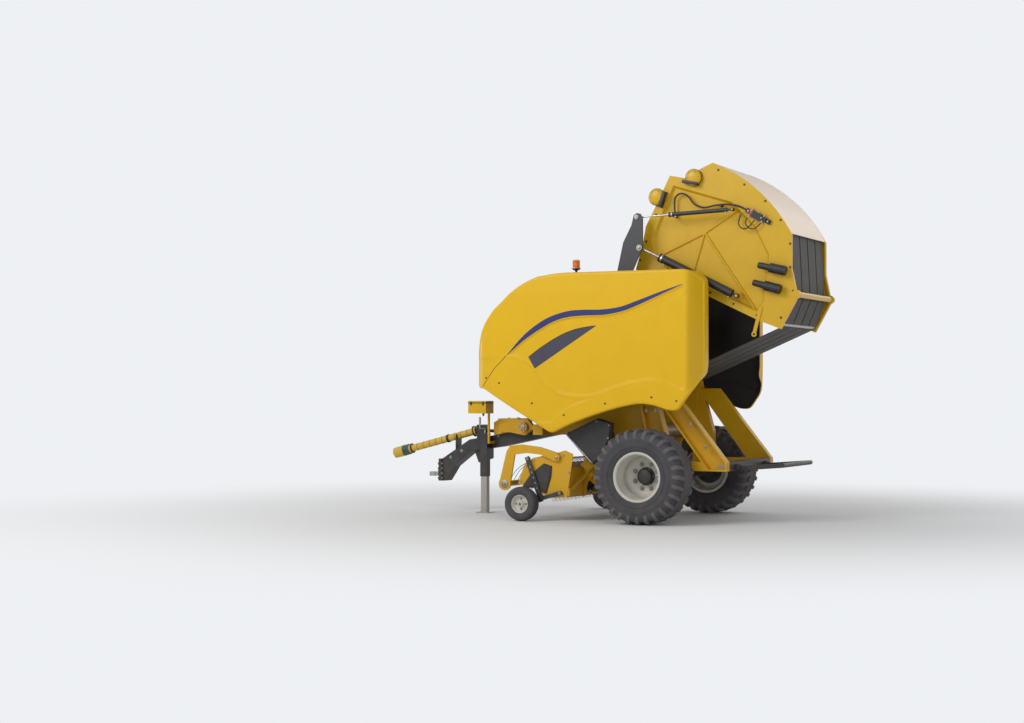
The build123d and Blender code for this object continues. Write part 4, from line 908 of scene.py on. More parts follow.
# Fine rings on the wall: radius, half width, place across
WALL_RINGS = ((0.335, 0.004, 0.2445), (0.398, 0.003, 0.2495))
RING_SUNK, RING_PROUD = 0.004, 0.003
RIB_PLACES = (-0.095, -0.057, -0.019, 0.019, 0.057, 0.095)
RIB_HALF = 0.0135
RIB_TOP_SHARE = 0.85
# How far the ribs stay below the lugs, and how far ribs and lugs reach into the carcass
RIB_DROP = 0.003
TREAD_SUNK = 0.004
# A shoulder lug's stations: place across, place round, radius under it, share of the height, half width
LUG_STATIONS = ((0.122, -0.016, 0.5025, 1.0, 0.021), (0.155, -0.008, 0.5015, 1.0, 0.023),
                (0.19, 0.002, 0.4975, 1.0, 0.0245), (0.218, 0.008, 0.486, 0.95, 0.025),
                (0.234, 0.011, 0.462, 0.8, 0.025), (0.2405, 0.012, 0.437, 0.45, 0.023),
                (0.2455, 0.014, 0.418, 0.1, 0.017))
LUG_TOP_SHARE = 0.82
# Past this place across, over this width, a lug turns from standing on the crown to standing on the wall
SHOULDER, SHOULDER_WIDTH, SHOULDER_TURN = 0.19, 0.06, radians(72)

RIM_STEPS = 96
DISC_FACE = -0.0815
# From the outer flange in to the disc, round its back and out again
RIM_SECTION = [(0.215, 0.262), (0.215, 0.274), (0.211, 0.278), (0.206, 0.275), (0.204, 0.2545), (0.12, 0.2535),
               (0.09, 0.235), (-0.02, 0.235), (-0.05, 0.2535), (-0.204, 0.2545), (-0.206, 0.275),
               (-0.211, 0.278), (-0.215, 0.274), (-0.215, 0.25), (-0.19, 0.246), (-0.06, 0.246),
               (-0.03, 0.2275), (0.085, 0.2275), (0.118, 0.246), (0.2, 0.247)]
DISC_SECTION = [(-0.034, 0.2295), (-0.05, 0.224), (-0.066, 0.205), (-0.079, 0.19), (DISC_FACE, 0.175),
                (DISC_FACE, 0.073), (-0.095, 0.073), (-0.095, 0.19), (-0.08, 0.209), (-0.062, 0.2295)]
DISC_WELD = [(-0.033, 0.2265), (-0.029, 0.2295), (-0.036, 0.2295)]
STUD_COUNT = 8
STUD_CIRCLE = 0.142
CAP_STEPS = 48
CAP_FACE = -0.054
CAP_FLANGE = [(DISC_FACE, 0), (DISC_FACE, 0.1), (-0.06, 0.1), (CAP_FACE, 0.094), (CAP_FACE, 0)]
CAP_CROWN = [(CAP_FACE, 0), (CAP_FACE, 0.086), (-0.02, 0.084), (-0.002, 0.079), (0.005, 0.066), (0.0065, 0)]
CAP_SCREWS = 6
CAP_SCREW_CIRCLE = 0.0925


def add_carcass(work, lug_height):
    """A road tyre's body without its tread, with fine rings on its walls."""
    crown = TYRE_RADIUS - lug_height
    half = TYRE_WALL + [(0.19, crown - 0.006), (0.12, crown - 0.001), (0, crown)]
    add_turned(work, half + mirrored(half[:-1]) + TYRE_INSIDE, TYRE_STEPS)
    for radius, width, wall in WALL_RINGS:
        for face in (-1, 1):
            foot, crest = face * (wall - RING_SUNK), face * (wall + RING_PROUD)
            add_turned(work, [(foot, radius - width), (crest, radius - width / 2), (crest, radius + width / 2),
                              (foot, radius + width)], TYRE_STEPS)


def add_ribs(work, lug_height):
    """The fine ribs that run round the middle of a road tyre."""
    low, high = TYRE_RADIUS - lug_height - TREAD_SUNK, TYRE_RADIUS - RIB_DROP
    top = RIB_HALF * RIB_TOP_SHARE
    for across in RIB_PLACES:
        add_turned(work, [(across - RIB_HALF, low), (across - top, high), (across + top, high),
                          (across + RIB_HALF, low)], TYRE_STEPS)


def add_lug(work, height):
    """A shoulder lug: a slanted block on the crown that runs down the side wall."""
    rings = []
    for across, around, radius, share, half in LUG_STATIONS:
        tilt = min(1.0, max(0.0, (across - SHOULDER) / SHOULDER_WIDTH)) * SHOULDER_TURN
        out = Vector((cos(tilt), 0, sin(tilt)))
        base = Vector((radius - TYRE_RADIUS, around, across)) - out * TREAD_SUNK
        top = base + out * (height * share + TREAD_SUNK)
        corners = ((base, -half), (top, -half * LUG_TOP_SHARE), (top, half * LUG_TOP_SHARE), (base, half))
        rings.append([work.verts.new(place + Vector((0, aside, 0))) for place, aside in corners])
    for ring, other in zip(rings, rings[1:]):
        for step in range(4):
            work.faces.new([ring[step], ring[(step + 1) % 4], other[(step + 1) % 4], other[step]])
    work.faces.new(rings[0])
    work.faces.new(rings[-1])


def add_rim(work):
    """A road wheel's rim with its dished disc and the weld between them."""
    for section in (RIM_SECTION, DISC_SECTION, DISC_WELD):
        add_turned(work, section, RIM_STEPS)


def add_wheel_nut(work):
    """A wheel nut on its stud, at the middle of the disc."""
    add_hexagon(work, 0.03, 0.02, (0, 0, DISC_FACE), UP)
    add_rod(work, (0, 0, -0.07), (0, 0, -0.05), 0.009, 14, 0.002)


def add_valve(work):
    """The tyre's valve and its cap, through the rim."""
    add_rod(work, (0.228, 0, 0.07), (0.19, 0, 0.1), 0.005, 10, 0.001)
    add_rod(work, (0.195, 0, 0.096), (0.186, 0, 0.103), 0.0065, 10, 0.001)


def add_hub_cap(work):
    """The hub's flanged cap."""
    add_turned(work, CAP_FLANGE, CAP_STEPS)
    add_turned(work, CAP_CROWN, CAP_STEPS)


def add_cap_screw(work):
    """A screw of the hub's cap, at the middle of its flange."""
    add_hexagon(work, 0.013, 0.008, (0, 0, CAP_FACE), UP, washer=False)


class BALER_OT_road_wheels(bpy.types.Operator):
    """Builds the road tyres with lugs and ribs, the dished rims and the wheel nuts"""

    bl_idname = "baler.road_wheels"
    bl_label = "Road wheels"

    def execute(self, context):
        sizes = context.scene.baler_sizes
        tread_lighter_than_shaded_gaps, bright = finish_of("tread_lighter_than_shaded_gaps"), finish_of("bolt")
        for side, sign in SIDES:
            place = Matrix.Translation(middle(f"tyre_{side}")) @ turned_to((0, sign, 0))
            # The carcass gets the darker finish and the lugs and ribs the lighter one, which paints shade into
            # the gaps between the lugs
            tyres = [made("tyre", add_carcass, sizes.lug_height), made("tread_lighter_than_shaded_gaps", add_ribs, sizes.lug_height)]
            for face, start in ((1, 0.0), (-1, pi / sizes.lug_count)):
                lugs = ring_of(mesh_from(add_lug, sizes.lug_height), sizes.lug_count, TYRE_RADIUS, tread_lighter_than_shaded_gaps, start)
                tyres.append(moved(lugs, Matrix.Diagonal((1, 1, face, 1))))
            body = f"wheel_{side}"
            tyre = joined(f"road_tyre_{side}", [moved(mesh, place) for mesh in tyres], body, 40)
            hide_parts(f"tyre_{side}")
            rims = [made("rim", add_rim),
                    ring_of(mesh_from(add_wheel_nut), STUD_COUNT, STUD_CIRCLE, bright, pi / STUD_COUNT),
                    made("hose", add_valve)]
            rim = joined(f"road_rim_{side}", [moved(mesh, place) for mesh in rims], body, 40)
            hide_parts(f"rim_{side}")
            covers = [made("plastic_black", add_hub_cap),
                      ring_of(mesh_from(add_cap_screw), CAP_SCREWS, CAP_SCREW_CIRCLE, bright)]
            joined(f"hub_cap_{side}", [moved(mesh, place) for mesh in covers], body, 35)
        return {"FINISHED"}


# Moulded side shields, drawn on the left and mirrored. Points are metres behind the axle and height.

SHIELD_INNER = 0.89
FRONT_ARCS = (((-2.045, 1.90), (-1.925, 2.24), (-1.697, 2.48)),
              ((-1.697, 2.48), (-1.444, 2.672), (-1.194, 2.772)))
# Corners of the outline after the front arcs: place, height, radius
SHIELD_CORNERS = ((-0.946, 2.795, 0.2), (0.560, 2.795, 0.1), (0.680, 2.70, 0.06), (0.680, 1.70, 0.1),
                  (0.610, 1.48, 0.1), (0.450, 1.252, 0.08), (0.340, 1.252, 0.08), (0.190, 1.306, 0.1),
                  (0.0, 1.332, 0.2), (-0.270, 1.280, 0.3), (-0.560, 1.195, 0.3), (-0.850, 1.090, 0.3),
                  (-1.060, 0.990, 0.05), (-1.950, 1.500, 0.06), (-2.045, 1.500, 0.05))
# The shield seen from above: place, metres out from the machine's middle
PLAN = ((-2.06, 1.08), (-1.96, 1.19), (-1.80, 1.228), (-1.60, 1.246), (-1.40, 1.25), (0.54, 1.25),
        (0.575, 1.243), (0.69, 0.93))
PLAN_EASE = 0.03


def softened(points, rounds=5):
    """A row of (place, height) pairs with its corners taken off."""
    return [tuple(point) for point in soft_line(points, rounds)]


# Lines on the shield's face: its ridge, the stripe, the valley under it, the skirt's flare, vent and split
RIDGE = softened(((-1.615, 1.862), (-1.54, 1.864), (-1.469, 1.847), (-1.364, 1.772), (-1.199, 1.603),
                  (-1.06, 1.505), (-0.952, 1.444), (-0.80, 1.415), (-0.648, 1.408), (-0.50, 1.435),
                  (-0.348, 1.481), (-0.15, 1.545), (0.104, 1.585), (0.25, 1.57), (0.337, 1.53), (0.491, 1.481)))
STRIPE_TOP = softened(((-1.615, 1.877), (-1.427, 2.072), (-1.261, 2.201), (-1.075, 2.300), (-0.851, 2.361),
                       (-0.65, 2.372), (-0.448, 2.371), (-0.229, 2.394), (-0.032, 2.454), (0.240, 2.547),
                       (0.510, 2.631)))
STRIPE_BOTTOM = softened(((-1.615, 1.872), (-1.406, 2.034), (-1.199, 2.162), (-1.014, 2.252), (-0.830, 2.296),
                          (-0.62, 2.308), (-0.408, 2.312), (-0.190, 2.348), (0.007, 2.417), (0.279, 2.528),
                          (0.510, 2.625)))
VALLEY = softened(((-1.10, 2.20), (-0.952, 2.251), (-0.508, 2.262), (-0.209, 2.284), (0.240, 2.412),
                   (0.510, 2.586)))
FLARE = softened(((-1.06, 1.10), (-1.034, 1.138), (-0.952, 1.212), (-0.851, 1.268), (-0.70, 1.33),
                  (-0.548, 1.389), (-0.348, 1.481)))
VENT_TOP = softened(((-1.345, 1.850), (-1.24, 1.925), (-1.137, 1.990), (-0.952, 2.090), (-0.749, 2.160),
                     (-0.52, 2.193)))
VENT_BOTTOM = ((-1.345, 1.850), (-1.268, 1.722), (-0.52, 2.188))
SPLIT = ((-1.626, 1.867), (-1.70, 1.80), (-1.784, 1.727), (-1.954, 1.520))

# The face lies a little inside the plan, and leans in above a height
FACE_INSET = 0.0015
LEAN_FROM, LEAN_RUN, LEAN_DEPTH = 2.45, 0.4, 0.012
# The sunk face between ridge and stripe: its ends, its depth, and how wide its slopes are on each side
SUNK_FRONT, SUNK_REAR, SUNK_DEPTH = -1.612, 0.54, 0.014
SLOPE_RIDGE, SLOPE_STRIPE, SLOPE_REAR, SLOPE_FRONT = 0.026, 0.022, 0.03, 0.05
STRIPE_MARGIN = 0.004
VALLEY_FROM, VALLEY_RUN, VALLEY_HALF, VALLEY_DEPTH = -1.25, 0.3, 0.06, 0.0025
FLARE_TO, FLARE_RUN, FLARE_DEPTH = -0.30, 0.12, 0.007
SLOPE_FLARE, SLOPE_SKIRT = 0.03, 0.05
# Rows of points along each crease, by their height over its line, so that the mesh follows it
CREASES = ((RIDGE, (0.0, 0.009, 0.018, 0.026)), (STRIPE_BOTTOM, (-0.004, -0.011, -0.019, -0.026)),
           (FLARE, (0.0, 0.015, 0.03)))
CREASE_STEP = 0.012

# The rounded edge turns through these angles in degrees, and the flange behind it has rows at these shares
EDGE_ROUND = 0.022
EDGE_ANGLES = (30, 60, 90)
FLANGE_SHARES = (0.33, 0.66, 1.0)
LOWER_FLANGE = 0.035
# An edge is a lower one, with a narrow flange, where it heads this much forward, or this much down and low
FORWARD_HEADING, DOWNWARD_HEADING, LOWER_EDGE_HEIGHT = -0.35, -0.3, 1.6
LOWER_EDGE_ROUNDS = 6


def arc_through(first, second, third, steps):
    """Points on the circle through three points, without the last."""
    (ax, ay), (bx, by), (cx, cy) = first, second, third
    scale = 2 * (ax * (by - cy) + bx * (cy - ay) + cx * (ay - by))
    a, b, c = ax * ax + ay * ay, bx * bx + by * by, cx * cx + cy * cy
    ux = (a * (by - cy) + b * (cy - ay) + c * (ay - by)) / scale
    uy = (a * (cx - bx) + b * (ax - cx) + c * (bx - ax)) / scale
    radius = hypot(ax - ux, ay - uy)
    start = atan2(ay - uy, ax - ux)
    sweep = atan2(cy - uy, cx - ux) - start
    sweep = (sweep + pi) % (2 * pi) - pi
    turns = [start + sweep * step / steps for step in range(steps)]
    return [Vector((ux + radius * cos(turn), uy + radius * sin(turn))) for turn in turns]


def rounded_corner(before, corner, after, radius, steps=5):
    """Points of a soft corner between two straight edges."""
    before, corner, after = Vector(before), Vector(corner), Vector(after)
    into, out = (before - corner), (after - corner)
    reach = min(radius, 0.45 * into.length, 0.45 * out.length)
    start, end = corner + into.normalized() * reach, corner + out.normalized() * reach
    shares = [step / steps for step in range(steps + 1)]
    return [start.lerp(corner, share).lerp(corner.lerp(end, share), share) for share in shares]


def spaced(points, step):
    """A closed row of points with an even spacing."""
    lengths = [(b - a).length for a, b in zip(points, points[1:] + points[:1])]
    total = sum(lengths)
    count = round(total / step)
    result, index, passed = [], 0, 0.0
    for number in range(count):
        goal = total * number / count
        while passed + lengths[index] < goal:
            passed += lengths[index]
            index += 1
        start, end = points[index], points[(index + 1) % len(points)]
        result.append(start.lerp(end, (goal - passed) / lengths[index]))
    return result


def shield_outline(step):
    """The shield's outline as evenly spaced points, going round clockwise from the front."""
    points = []
    for arc in FRONT_ARCS:
        points += arc_through(*arc, 12)
    corners = [(*FRONT_ARCS[1][2], 0.2), *SHIELD_CORNERS, (*FRONT_ARCS[0][0], 0.05)]
    for before, corner, after in zip(corners, corners[1:], corners[2:]):
        points += rounded_corner(before[:2], corner[:2], after[:2], corner[2])
    return spaced(points, step)


def around(points):
    """Each point of a closed row with the one before and the one after it."""
    return zip(points[-1:] + points[:-1], points, points[1:] + points[:1])


def inward(points, amount):
    """A closed row of points moved inwards, for a row that goes round clockwise."""
    result = []
    for before, point, after in around(points):
        along = (after - before).normalized()
        result.append(point + Vector((along.y, -along.x)) * amount)
    return result


def plan_y(x):
    """The plan read with its corners eased."""
    low, high = between(x - PLAN_EASE, PLAN), between(x + PLAN_EASE, PLAN)
    return (low + 2 * between(x, PLAN) + high) / 4


def shield_y(x, z):
    """How far out the shield's surface lies at a point of its side view."""
    y = plan_y(x) - FACE_INSET
    y -= LEAN_DEPTH * ease((z - LEAN_FROM) / LEAN_RUN)
    over_ridge = z - between(x, RIDGE)
    under_stripe = between(x, STRIPE_BOTTOM) - z
    sunk = min(over_ridge / SLOPE_RIDGE, (under_stripe - STRIPE_MARGIN) / SLOPE_STRIPE,
               (SUNK_REAR - x) / SLOPE_REAR, (x - SUNK_FRONT) / SLOPE_FRONT)
    y -= SUNK_DEPTH * ease(sunk)
    valley = abs(z - between(x, VALLEY)) / VALLEY_HALF
    y -= VALLEY_DEPTH * max(0.0, 1 - valley) * ease((x - VALLEY_FROM) / VALLEY_RUN) * ease(sunk)
    if over_ridge < 0:
        # The front of the skirt lies a little behind its flared rear part
        y -= (FLARE_DEPTH * ease((z - between(x, FLARE)) / SLOPE_FLARE) * ease((FLARE_TO - x) / FLARE_RUN)
              * ease(-over_ridge / SLOPE_SKIRT))
    return y


def on_shield(point, lift=0.0):
    """The place on the left shield's surface at a point of its side view, lifted off it."""
    return at(point[0], point[1], -(shield_y(point[0], point[1]) + lift))


# The grid's rows lie this share of a step apart, and its points keep this share of it off the outline
GRID_ROW_SHARE, GRID_MARGIN_SHARE = 0.87, 0.55
# Only the outline's edges that begin as near as this are looked at
GRID_REACH = 0.1


def triangulated(outline, extra, step):
    """Triangles over a flat outline with a grid of points inside it."""
    low_x, high_x = min(p.x for p in outline), max(p.x for p in outline)
    low_y, high_y = min(p.y for p in outline), max(p.y for p in outline)
    grid = list(extra)
    row = 0
    y = low_y + step / 2
    while y < high_y:
        x = low_x + (step / 2 if row % 2 else step)
        while x < high_x:
            grid.append(Vector((x, y)))
            x += step
        y += step * GRID_ROW_SHARE
        row += 1
    edges = list(zip(outline, outline[1:] + outline[:1]))
    kept = [p.copy() for p in outline]
    for point in grid:
        near = [(a, b) for a, b in edges
                if abs(a.x - point.x) < GRID_REACH and abs(a.y - point.y) < GRID_REACH]
        gaps = [(geometry.intersect_point_line(point, a, b)[0] - point).length for a, b in near]
        if all(gap > step * GRID_MARGIN_SHARE for gap in gaps):
            kept.append(point)
    verts, _, faces, *_ = geometry.delaunay_2d_cdt(kept, [], [list(range(len(outline)))], 1, MERGE_DISTANCE)
    return verts, faces


def crease_points():
    """Points along the shield's creases, in rows on each side of them."""
    points = []
    for line, rises in CREASES:
        for (x1, z1), (x2, z2) in zip(line, line[1:]):
            count = max(1, round(hypot(x2 - x1, z2 - z1) / CREASE_STEP))
            for number in range(count):
                x, z = x1 + (x2 - x1) * number / count, z1 + (z2 - z1) * number / count
                points += [Vector((x, z + rise)) for rise in rises]
    return points


def narrow_flange(outline):
    """For each point of the outline, 1 where its flange is a narrow lower one, fading to 0 elsewhere."""
    shares = []
    for before, _, after in around(outline):
        along = (after - before).normalized()
        lower = along.x < FORWARD_HEADING or (along.y < DOWNWARD_HEADING and after.y < LOWER_EDGE_HEIGHT)
        shares.append(1.0 if lower else 0.0)
    for _ in range(LOWER_EDGE_ROUNDS):
        shares = [(a + b + c) / 3 for a, b, c in around(shares)]
    return shares


def thickened(mesh, sheet):
    """A skin given its thickness inwards, with the liner's finish on its inside."""
    holder = link(dressed(mesh, finish_of("yellow"), finish_of("liner")), "holder")
    thicken = holder.modifiers.new("thickness", "SOLIDIFY")
    thicken.thickness = sheet
    thicken.offset = -1
    thicken.material_offset = 1
    thicken.use_even_offset = True
    bpy.context.view_layer.update()
    result = bpy.data.meshes.new_from_object(holder.evaluated_get(bpy.context.evaluated_depsgraph_get()))
    bpy.data.objects.remove(holder)
    return result


def shield_skin(step, sheet):
    """The left shield: its moulded face, soft edges and inner flange, as one thick sheet."""
    outline = shield_outline(step)
    inner = inward(outline, EDGE_ROUND)
    verts, faces = triangulated(inner, crease_points(), step)
    work = bmesh.new()
    flat = [work.verts.new(on_shield(p)) for p in verts]
    for face in faces:
        work.faces.new([flat[index] for index in face])
    lookup = {(round(p.x, 6), round(p.y, 6)): vert for p, vert in zip(verts, flat)}
    rings = [[lookup[(round(p.x, 6), round(p.y, 6))] for p in inner]]
    for angle in EDGE_ANGLES:
        turn = radians(angle)
        ring = []
        for p, edge in zip(inner, outline):
            place = p.lerp(edge, sin(turn))
            y = shield_y(p.x, p.y) - EDGE_ROUND * (1 - cos(turn))
            ring.append(work.verts.new(at(place.x, place.y, -y)))
        rings.append(ring)
    narrow = narrow_flange(outline)
    for share in FLANGE_SHARES:
        ring = []
        for p, edge, low in zip(inner, outline, narrow):
            start = shield_y(p.x, p.y) - EDGE_ROUND
            end = max(SHIELD_INNER, (start - LOWER_FLANGE) * low + SHIELD_INNER * (1 - low))
            ring.append(work.verts.new(at(edge.x, edge.y, -(start + (end - start) * share))))
        rings.append(ring)
    for ring, other in zip(rings, rings[1:]):
        for index in range(len(ring)):
            after = (index + 1) % len(ring)
            work.faces.new([ring[index], ring[after], other[after], other[index]])
    # The moulded face has to look outwards, since the thickness goes inwards from it
    bmesh.ops.recalc_face_normals(work, faces=work.faces)
    outermost = max(work.faces, key=lambda face: -face.calc_center_median().y)
    if outermost.normal.y > 0:
        bmesh.ops.reverse_faces(work, faces=work.faces)
    mesh = bpy.data.meshes.new("mesh")
    work.to_mesh(mesh)
    work.free()
    return thickened(mesh, sheet)


FILM_SUNK = 0.001
FILM_EDGE_SHARE = 0.6


def add_film(work, outline, lift, step):
    """A thin closed film over the shield's face inside an outline."""
    points = [Vector(point) for point in outline]
    if sum((b.x - a.x) * (b.y + a.y) for a, b in zip(points, points[1:] + points[:1])) < 0:
        points.reverse()
    verts, faces = triangulated(spaced(points, step * FILM_EDGE_SHARE), [], step)
    layers = [[work.verts.new(on_shield(p, rise)) for p in verts] for rise in (lift, -FILM_SUNK)]
    for layer in layers:
        for face in faces:
            work.faces.new([layer[index] for index in face])
    lookup = {vert: index for index, vert in enumerate(layers[0])}
    for edge in [edge for edge in work.edges if edge.is_boundary]:
        if edge.verts[0] in lookup:
            a, b = (lookup[vert] for vert in edge.verts)
            work.faces.new([layers[0][a], layers[0][b], layers[1][b], layers[1][a]])


def ribbon(line, width):
    """The outline of a narrow strip along a row of points."""
    points = [Vector(p) for p in line]
    left, right = [], []
    for index, point in enumerate(points):
        along = (points[min(index + 1, len(points) - 1)] - points[max(index - 1, 0)]).normalized()
        side = Vector((-along.y, along.x)) * width / 2
        left.append(point + side)
        right.append(point - side)
    return left + right[::-1]


SEAM_WIDTH = 0.006
# Films on the shield: finish, outline, how far they stand out, spacing of points
FILMS = (("stripe_blue", STRIPE_TOP + STRIPE_BOTTOM[::-1], 0.0012, 0.014),
         ("vent_grey", VENT_TOP + list(VENT_BOTTOM[:0:-1]), 0.0025, 0.016),
         ("seam", ribbon(VENT_TOP, SEAM_WIDTH), 0.0035, 0.01),
         ("seam", ribbon(SPLIT, SEAM_WIDTH), 0.001, 0.01))
SLAT_COUNT, SLAT_START, SLAT_PITCH = 60, -1.33, 0.0134
SLAT_RADIUS, SLAT_LIFT = 0.0017, 0.0028
SLAT_SHORTEST = 0.012
# How far the slats' ends stay inside the vent, below and above
SLAT_FOOT_GAP, SLAT_HEAD_GAP = 0.007, 0.008
HINGE_PLACES = (-0.995, -0.555)
HINGE_PIN_Y, HINGE_PIN_Z = -0.88, 2.765
SHIELD_FASTENERS = ((-1.9, 1.62), (-1.72, 1.56), (-1.3, 1.33), (-0.9, 1.2), (-0.4, 1.33), (0.15, 1.4),
                    (0.44, 1.36))


def add_slats(work):
    """The fine upright slats in the vent, between its lower and upper edge."""
    for number in range(SLAT_COUNT):
        x = SLAT_START + number * SLAT_PITCH
        low, high = between(x, VENT_BOTTOM) + SLAT_FOOT_GAP, between(x, VENT_TOP) - SLAT_HEAD_GAP
        if high - low >= SLAT_SHORTEST:
            add_rod(work, on_shield((x, low), SLAT_LIFT), on_shield((x, high), SLAT_LIFT), SLAT_RADIUS, 6)


def add_knuckles(work):
    """The hinge knuckles on the shield's pin, each with its leaf."""
    for x in HINGE_PLACES:
        add_lathe(work, collar(-0.03, 0.03, 0.0105, 0.018), at(x, HINGE_PIN_Z, HINGE_PIN_Y), REAR, 32)
        leaf = at(x, HINGE_PIN_Z + 0.013, HINGE_PIN_Y - 0.015)
        add_block(work, (0.06, 0.006, 0.032), Matrix.Translation(leaf), 0.001)


def add_fasteners(work):
    """Round black fasteners along the shield's skirt."""
    for place in SHIELD_FASTENERS:
        add_lathe(work, knob(0.011, 0.003, 0.007, 0.005, foot=-0.004), on_shield(place, 0.0005), LEFT, 24)


class BALER_OT_shields(bpy.types.Operator):
    """Moulds the side shields with their creases, stripe, vent and hinge knuckles"""

    bl_idname = "baler.shields"
    bl_label = "Side shields"

    def execute(self, context):
        sizes = context.scene.baler_sizes
        for side, sign in SIDES:
            parts = [shield_skin(sizes.mesh_step, sizes.sheet)]
            parts += [made(finish, add_film, *film) for finish, *film in FILMS]
            parts += [made("vent_grey", add_slats), made("yellow", add_knuckles),
                      made("plastic_black", add_fasteners)]
            piece = joined(f"moulded_shield_{side}", on_side(parts, sign), f"shield_{side}", 50)
            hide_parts(f"side_shield_{side}")
        return {"FINISHED"}


# Tailgate, given in metres from its closed hinge and set on the raised walls

WALL_FACE = 0.668
# Bolts along the rear, bottom and front edges of each wall
WALL_BOLTS = ((0.62, 0.268), (0.3, 0.245), (0.08, 0.22), (1.25, -0.02), (1.36, -0.2), (1.33, -0.55),
              (1.26, -0.85), (1.14, -1.1), (0.95, -1.31), (0.72, -1.42), (0.5, -1.56), (0.18, -1.56),
              (0.09, -1.3), (0.09, -1.0), (0.09, -0.7), (0.09, -0.4), (0.09, -0.15))
DOMES = ((0.806, 0.331), (1.172, 0.020))
DOME_SEAT = 0.6995
DOME_SECTION = [(0, 0), (0, 0.0935), (0.012, 0.0925), (0.026, 0.083), (0.036, 0.06), (0.040, 0.03), (0.041, 0)]
DOME_STEPS = 64
# Each dome's black flange: metres behind and below the dome with the tailgate raised, and its tilt in degrees
DOME_FLANGES = ((0.074, 0.032, -71.4), (-0.032, 0.057, 12.5))
FLANGE_Y = 0.706
DOME_SCREWS = 6
DOME_SCREW_CIRCLE, DOME_SCREW_Y = 0.068, 0.7315
# The oil bottles, each from its foot to its neck
BOTTLES = (((0.665, -1.411), (0.603, -1.119)), ((0.459, -1.443), (0.406, -1.147)))
BOTTLE_Y = -0.73
BOTTLE_RINGS = (0.12, 0.5)
# The valve block lies along a line on the left wall, and its parts are set at shares of it
VALVE_FOOT, VALVE_HEAD = raised(1.068, -1.01, -0.7), raised(1.088, -0.7, -0.7)
VALVE_ALONG = (VALVE_HEAD - VALVE_FOOT).normalized()
VALVE_SIDE = VALVE_ALONG.cross(Vector((0, 1, 0)))
# Slabs on the block: share of its length, their own length, width and depth
RED_BODIES = ((0.74, 0.085, 0.05, 0.006), (0.47, 0.03, 0.054, 0.006))
PALE_PLATE = (0.6, 0.05, 0.036, 0.009)
# Each oil pipe: share of the block where it starts, how far its loop reaches aside
PIPES = ((0.3, 0.11), (0.55, 0.15))
PIPE_RADIUS = 0.0065


def add_domes(work):
    """The round covers over the upper rollers' bearings."""
    for x, z in DOMES:
        add_lathe(work, DOME_SECTION, raised(x, z, -DOME_SEAT), LEFT, DOME_STEPS)


def add_dome_bands(work):
    """A black band round the foot of each dome."""
    for x, z in DOMES:
        add_lathe(work, collar(-0.012, 0.006, 0.0921, 0.0975), raised(x, z, -DOME_SEAT), LEFT, DOME_STEPS)


def add_dome_flanges(work):
    """A black flange beside each dome."""
    for (x, z), (behind, below, tilt) in zip(DOMES, DOME_FLANGES):
        place = raised(x, z, -FLANGE_Y) + Vector((behind, 0, -below))
        turn = Matrix.Rotation(radians(tilt), 4, "Y")
        add_block(work, (0.185, 0.078, 0.036), Matrix.Translation(place) @ turn, 0.004)


def add_dome_screws(work):
    """A ring of small screws on each dome."""
    for x, z in DOMES:
        for step in range(DOME_SCREWS):
            turn = 2 * pi * step / DOME_SCREWS
            place = raised(x + DOME_SCREW_CIRCLE * cos(turn), z + DOME_SCREW_CIRCLE * sin(turn), -DOME_SCREW_Y)
            add_hexagon(work, 0.009, 0.005, place, LEFT, washer=False)


def add_wall_bolts(work):
    """Bolt heads round the edge of the tailgate's left wall."""
    for x, z in WALL_BOLTS:
        add_hexagon(work, 0.014, 0.010, raised(x, z, -WALL_FACE), LEFT)


def add_bottle_rings(work):
    """The oil bottles' caps and the rings of the clamps that hold them."""
    for low, high in BOTTLES:
        foot, neck = raised(*low, BOTTLE_Y), raised(*high, BOTTLE_Y)
        heading = (neck - foot).normalized()
        add_lathe(work, knob(0.033, 0.018, 0.028, 0.022), neck, heading, 24)
        for share in BOTTLE_RINGS:
            add_lathe(work, collar(-0.006, 0.006, 0.0515, 0.0545), foot.lerp(neck, share), heading, 40)


def add_slab(work, share, length, width, depth):
    """A slab of the valve block, at a share of its length."""
    turn = Matrix((VALVE_ALONG, VALVE_SIDE, Vector(LEFT))).transposed().to_4x4()
    place = Matrix.Translation(VALVE_FOOT.lerp(VALVE_HEAD, share))
    add_block(work, (length, width, depth), place @ turn, 0.002)


def add_valve_bodies(work):
    """The valve block's two red bodies."""
    for slab in RED_BODIES:
        add_slab(work, *slab)


def add_valve_fittings(work):
    """Hose fittings on the valve block's face and on both its sides."""
    for share in (0.08, 0.2, 0.35, 0.9):
        place = VALVE_FOOT.lerp(VALVE_HEAD, share) + Vector((0, 0.004, 0))
        add_lathe(work, fitting(0.014, 0.016, 0.009), place, LEFT, 6)
    for share in (0.3, 0.55, 0.8):
        for sign in (-1, 1):
            place = VALVE_FOOT.lerp(VALVE_HEAD, share) + VALVE_SIDE * (sign * 0.024)
            add_lathe(work, fitting(0.012, 0.014, 0.0075), place, VALVE_SIDE * sign, 6)


def add_pipes(work):
    """The short oil pipes that loop from the valve block's side."""
    out = Vector((0, -0.012, 0))
    for share, reach in PIPES:
        start = VALVE_FOOT.lerp(VALVE_HEAD, share) + VALVE_SIDE * 0.05
        route = [start,
                 start + VALVE_SIDE * 0.03 + out,
                 start + VALVE_SIDE * reach * 0.8 + VALVE_ALONG * 0.03 + out,
                 start + VALVE_SIDE * reach + VALVE_ALONG * 0.09,
                 start + VALVE_SIDE * reach * 0.75 + VALVE_ALONG * 0.15,
                 start + VALVE_SIDE * 0.02 + VALVE_ALONG * 0.17 - out * 0.5]
        add_tube(work, route, PIPE_RADIUS)


